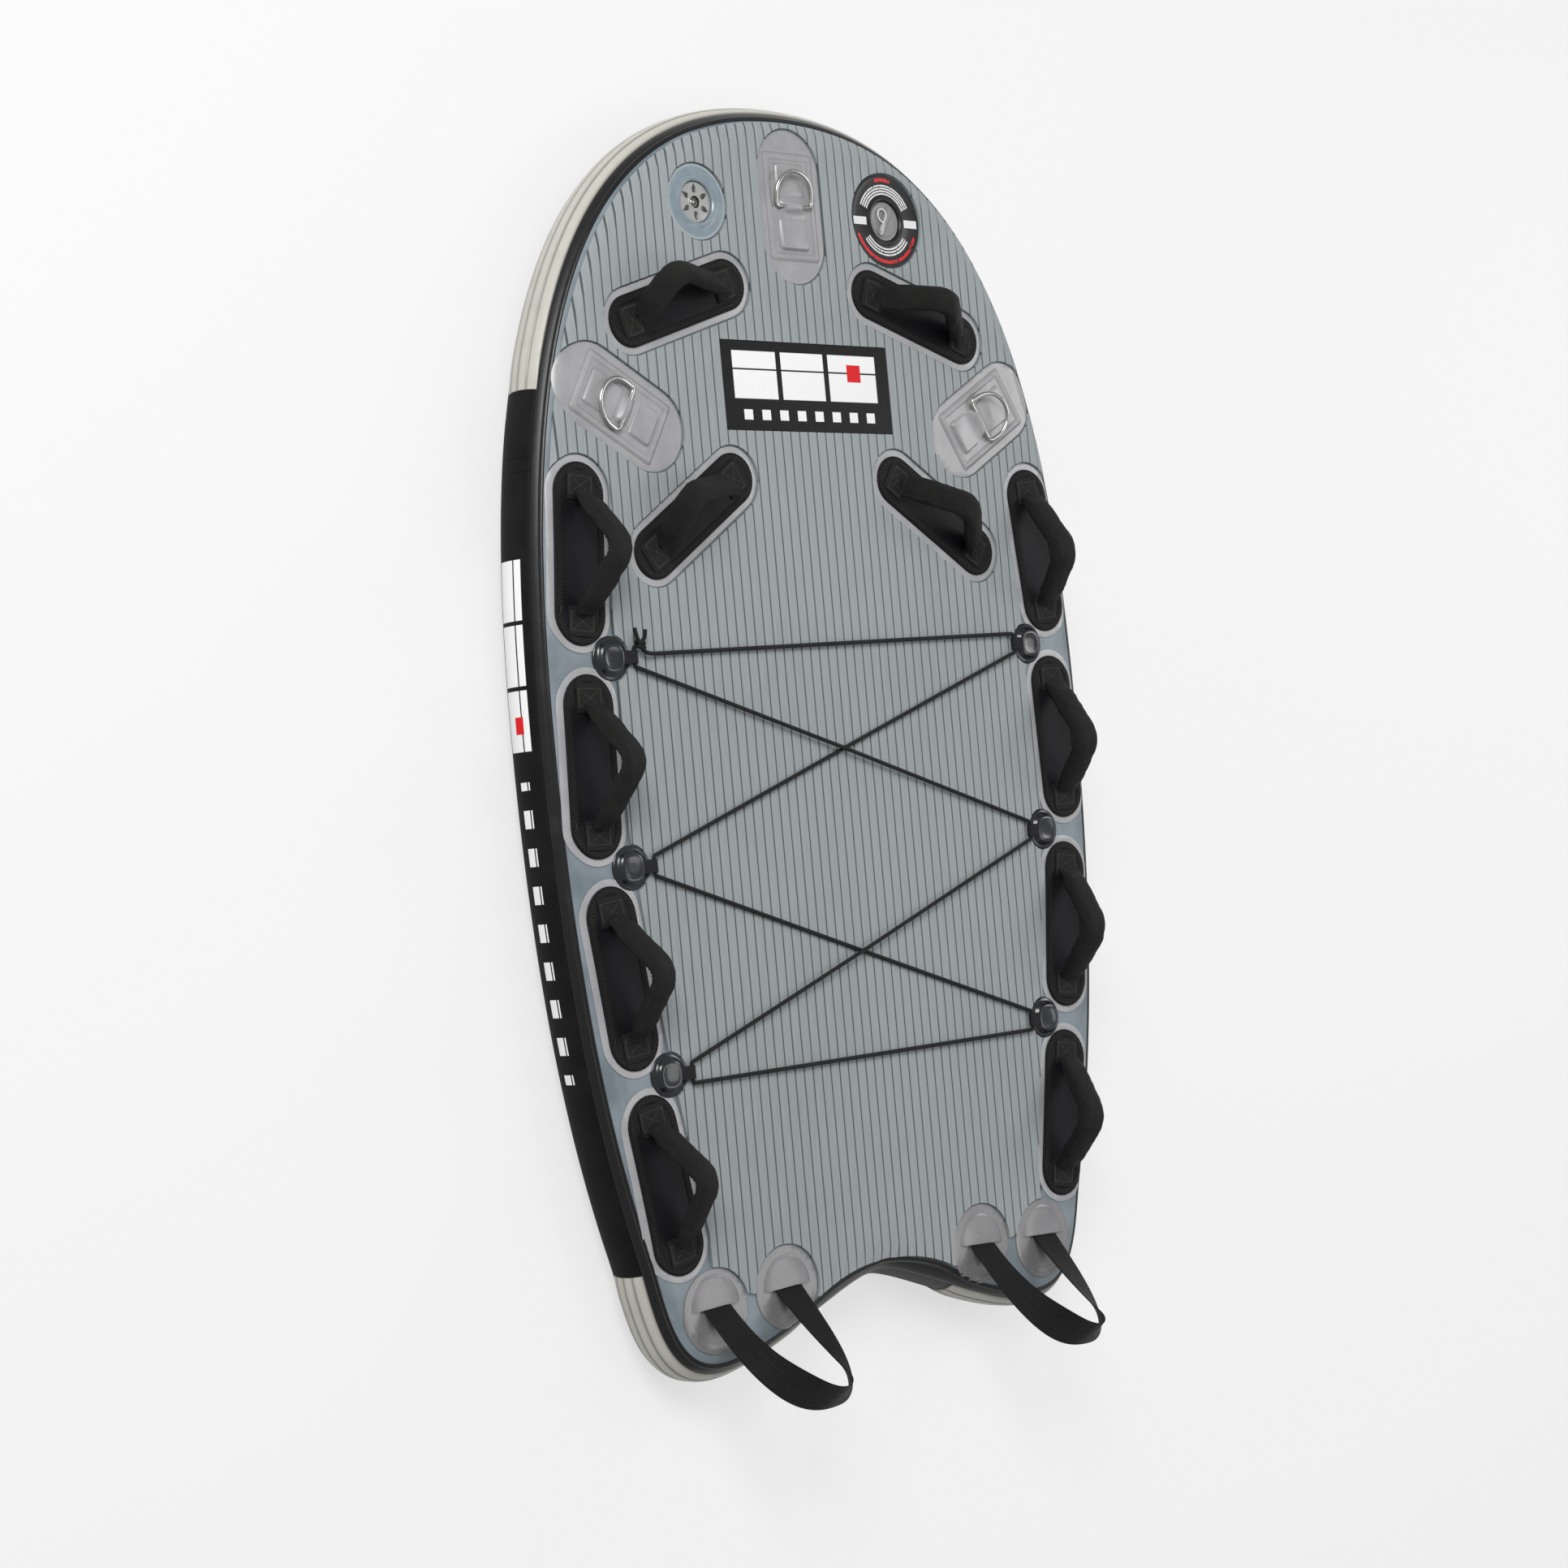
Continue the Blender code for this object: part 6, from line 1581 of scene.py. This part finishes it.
def strapPiece(label, slotLeft, slotRight):
    a, b = flatVector(*slotLeft), flatVector(*slotRight)
    middle, half, way = (a + b) / 2, (b - a).length / 2, (b - a).normalized()
    heading = math.atan2(way.y, way.x)
    high = hull["deep"] + gap + discLook["thick"] + discLook["axisHigh"]
    place = placedAt((middle.x, middle.y), heading, high) @ Matrix.Rotation(-deg(strapLook["rest"]), 4, "X")
    shape = [(-1, 0), (-0.985, 0.7), (-0.95, 1), (-0.75, 0.9), (-0.5, 1.0), (-0.25, 0.9), (-0.06, 1.05),
             (0.06, 1.05), (0.25, 0.9), (0.5, 1.0), (0.75, 0.9), (0.95, 1), (0.985, 0.7)]
    shape = shape + [(-u, -v) for u, v in shape]
    sections = []
    count = 110
    for i in range(count + 1):
        t = i / count
        s = 1 - t
        bow = strapLook["bowRight"] * t - strapLook["bowLeft"] * s
        x = half * (smoothly(t) * 2 - 1) + bow * (4 * s * t) ** 2
        bows = strapLook["bowRight"] + strapLook["bowLeft"]
        slope = half * 12 * s * t + bow * 32 * s * t * (s - t) + bows * (4 * s * t) ** 2
        centre = Vector((x, -strapLook["reach"] * 4 * s * t, 0))
        run = Vector((slope, -strapLook["reach"] * 4 * (s - t), 0)).normalized()
        even = strapLook["evenTurn"]
        turn = math.pi * (even * t + (1 - even) * t * t * (3 - 2 * t))
        across = Vector((math.cos(turn), 0, math.sin(turn)))
        across = (across - run * across.dot(run)).normalized()
        flat = run.cross(across)
        wave = 0.5 * math.sin(t * 17) + 0.35 * math.sin(t * 43 + 1.3)
        section = []
        for u, v in shape:
            high = v * strapLook["thick"] / 2 + wave * (1 - u * u)
            section.append(place @ (centre + across * (u * strapLook["wide"] / 2) + flat * high))
        sections.append(section)
    bm = sweep(bmesh.new(), sections)
    low, top = place @ Vector((0, 1, 0)), place @ Vector((0, -22, 0))
    settle(bm, "strap_web_" + label, finish["strap"], "strap_" + label,
           ("tail_strap_" + label,), sharp=70, blendWith=(toFrame @ low, toFrame @ top))


for side, word in ((1, "right"), (-1, "left")):
    outer = (discLook["outer"][0] * side, discLook["outer"][1])
    inner = (discLook["inner"][0] * side, discLook["inner"][1])
    outerSlot = (outer[0], outer[1] + discLook["shiftOuter"])
    innerSlot = (inner[0], inner[1] + discLook["shiftInner"])
    left, right = (outerSlot, innerSlot) if side < 0 else (innerSlot, outerSlot)
    heading = math.atan2(right[1] - left[1], right[0] - left[0])
    discPiece(word + "_outer", outer, outerSlot, heading)
    discPiece(word + "_inner", inner, innerSlot, heading)
    strapPiece(word, left, right)
print("tail ready")


# Valves
def flangePiece(name, paint, node, centre, flange, rimHigh):
    deck = hull["deep"] + gap
    top, throat = deck + 1.4, valve["throat"]
    inside = throat - 2.5
    hole = 11.4 if rimHigh < 2 else 14.0
    profile = [(flange, deck), (flange, top - 0.4), (flange - 0.5, top), (flange - 4.0, top + 0.15),
               (flange - 5, top - 0.05), (throat + 6.5, top), (throat + 4.6, top + 0.4),
               (throat + 3.4, top + rimHigh * 0.8), (throat + 2.2, top + rimHigh), (throat + 0.4, top + rimHigh),
               (throat - 0.8, top + rimHigh * 0.75), (inside, top - 0.4), (inside - 0.1, deck - 4.4),
               (inside - 1.2, deck - valve["floorDeep"])]
    low = [(hole, deck - valve["floorDeep"]), (hole, deck - 8.0), (inside, deck - 8.0),
           (inside, deck - 29), (throat, deck - 29), (throat, deck), (flange, deck)]
    bm = spinRound(bmesh.new(), profile + low, centre, 96)
    settle(bm, name, paint, "root", (node,), sharp=35)


relief, inflate = valve["relief"], valve["inflate"]
flangePiece("relief_flange", finish["relief"], "relief_valve_body", relief,
            valve["reliefFlange"], 1.9)
floorHigh = hull["deep"] + gap - valve["floorDeep"]


def joinInto(bm, other):
    mesh = bpy.data.meshes.new("joined")
    other.to_mesh(mesh)
    other.free()
    bm.from_mesh(mesh)
    bpy.data.meshes.remove(mesh)


def starDisc():
    # The valve's face: six pointed hollows round a hole.
    top = valve["faceHigh"]
    profile = [(8.9, 0.1), (8.9, top), (9.5, top + 0.5), (12.2, top + 0.5), (12.8, top), (28.6, top),
               (29.6, top - 0.4), (30.1, top - 1.3), (30.1, 0.1), (8.9, 0.1)]
    plate = spinRound(bmesh.new(), profile, (0, 0), 96)
    block = helperObject("star_block", plate)
    cutters = bmesh.new()
    for k in range(6):
        angle = deg(60 * k + valve["starTurn"])
        place = Matrix.Rotation(angle, 4, "Z") @ Matrix.Translation((20.4, 0, top + 0.5))
        hollow = bmesh.new()
        bmesh.ops.create_uvsphere(hollow, u_segments=24, v_segments=12, radius=1.0)
        for vert in hollow.verts:
            taper = 0.62 - 0.38 * vert.co.x  # wide towards the hole, pointed towards the rim
            vert.co = Vector((vert.co.x * 7.2, vert.co.y * 6.0 * taper, vert.co.z * 2.9))
        bmesh.ops.transform(hollow, matrix=place, verts=hollow.verts)
        joinInto(cutters, hollow)
    tool = helperObject("star_tool", cutters)
    cutBy(block, tool, "DIFFERENCE")
    bm = takeSettled(block, [tool])
    bmesh.ops.translate(bm, vec=(relief[0], relief[1], floorHigh - 0.1), verts=bm.verts)
    settle(bm, "relief_face", finish["face"], "root", sharp=30)


starDisc()
plungerLine = [(0, -2.3), (10.9, -2.3), (10.9, -0.5), (7.9, -0.5), (7.9, 1.2), (7.2, 2.0), (5.6, 2.3),
               (5.0, 1.2), (3.4, 0.9), (0, 0.9)]
bm = spinRound(bmesh.new(), plungerLine, (0, 0), 48)
bmesh.ops.translate(bm, vec=(relief[0], relief[1], floorHigh - 3.6 + 2.3), verts=bm.verts)
settle(bm, "relief_plunger", finish["poppet"], "poppet", ("relief_poppet",), sharp=30)
ballLine = [(0, -1.4), (2.2, -1.2), (3.3, -0.3), (3.2, 0.9), (2.2, 1.9), (0, 2.4)]
bm = spinRound(bmesh.new(), ballLine, (0, 0), 24)
bmesh.ops.translate(bm, vec=(relief[0] - 3.4, relief[1] + 0.6, floorHigh + 0.6), verts=bm.verts)
settle(bm, "relief_ball", finish["steel"], "poppet", sharp=30)

flangePiece("inflate_flange", finish["label"], "inflation_valve_body", inflate,
            valve["inflateFlange"], 2.0)
capRadius = valve["throat"] - 2.5 - 0.5
capTurn = deg(60)
capLine = [(0, 0.3), (capRadius, 0.3), (capRadius, 3.2), (capRadius - 0.7, 4.0), (capRadius - 3, 4.2),
           (capRadius - 4, 3.5), (capRadius - 6.5, 3.4), (capRadius - 7.2, 3.9), (0, 3.95)]
bm = spinRound(bmesh.new(), capLine, (0, 0), 72)
bar = slab(bmesh.new(), roundBox((0, 0), 50, 10.4, capTurn, 4.6, 8), 3.6, 6.7, 1.2, 4)
joinInto(bm, bar)
bmesh.ops.translate(bm, vec=(inflate[0], inflate[1], floorHigh), verts=bm.verts)
settle(bm, "inflate_cap", finish["cap"], "valve_cap", ("inflation_cap",), sharp=35)


def tetherPiece():
    # A pale cord tied in a loop on the cap.
    spots = [(-12, -22, 5.6), (-10, -14, 5.8), (-7, -6, 8.0), (-2, 2, 8.3), (1, 10, 8.3), (-3, 17, 7.4), (-10, 17, 5.8),
             (-14, 9, 5.8), (-11, 1, 6.4), (-7.5, -6, 10.4), (-6, -13, 6.6), (-9, -21, 5.6)]
    line = smoothLine([(inflate[0] + x, inflate[1] + y, floorHigh + z) for x, y, z in spots], 8)
    bm = tube(bmesh.new(), line, 1.2, 10)
    settle(bm, "cap_tether", finish["tether"], "valve_cap")


tetherPiece()
print("valves ready")
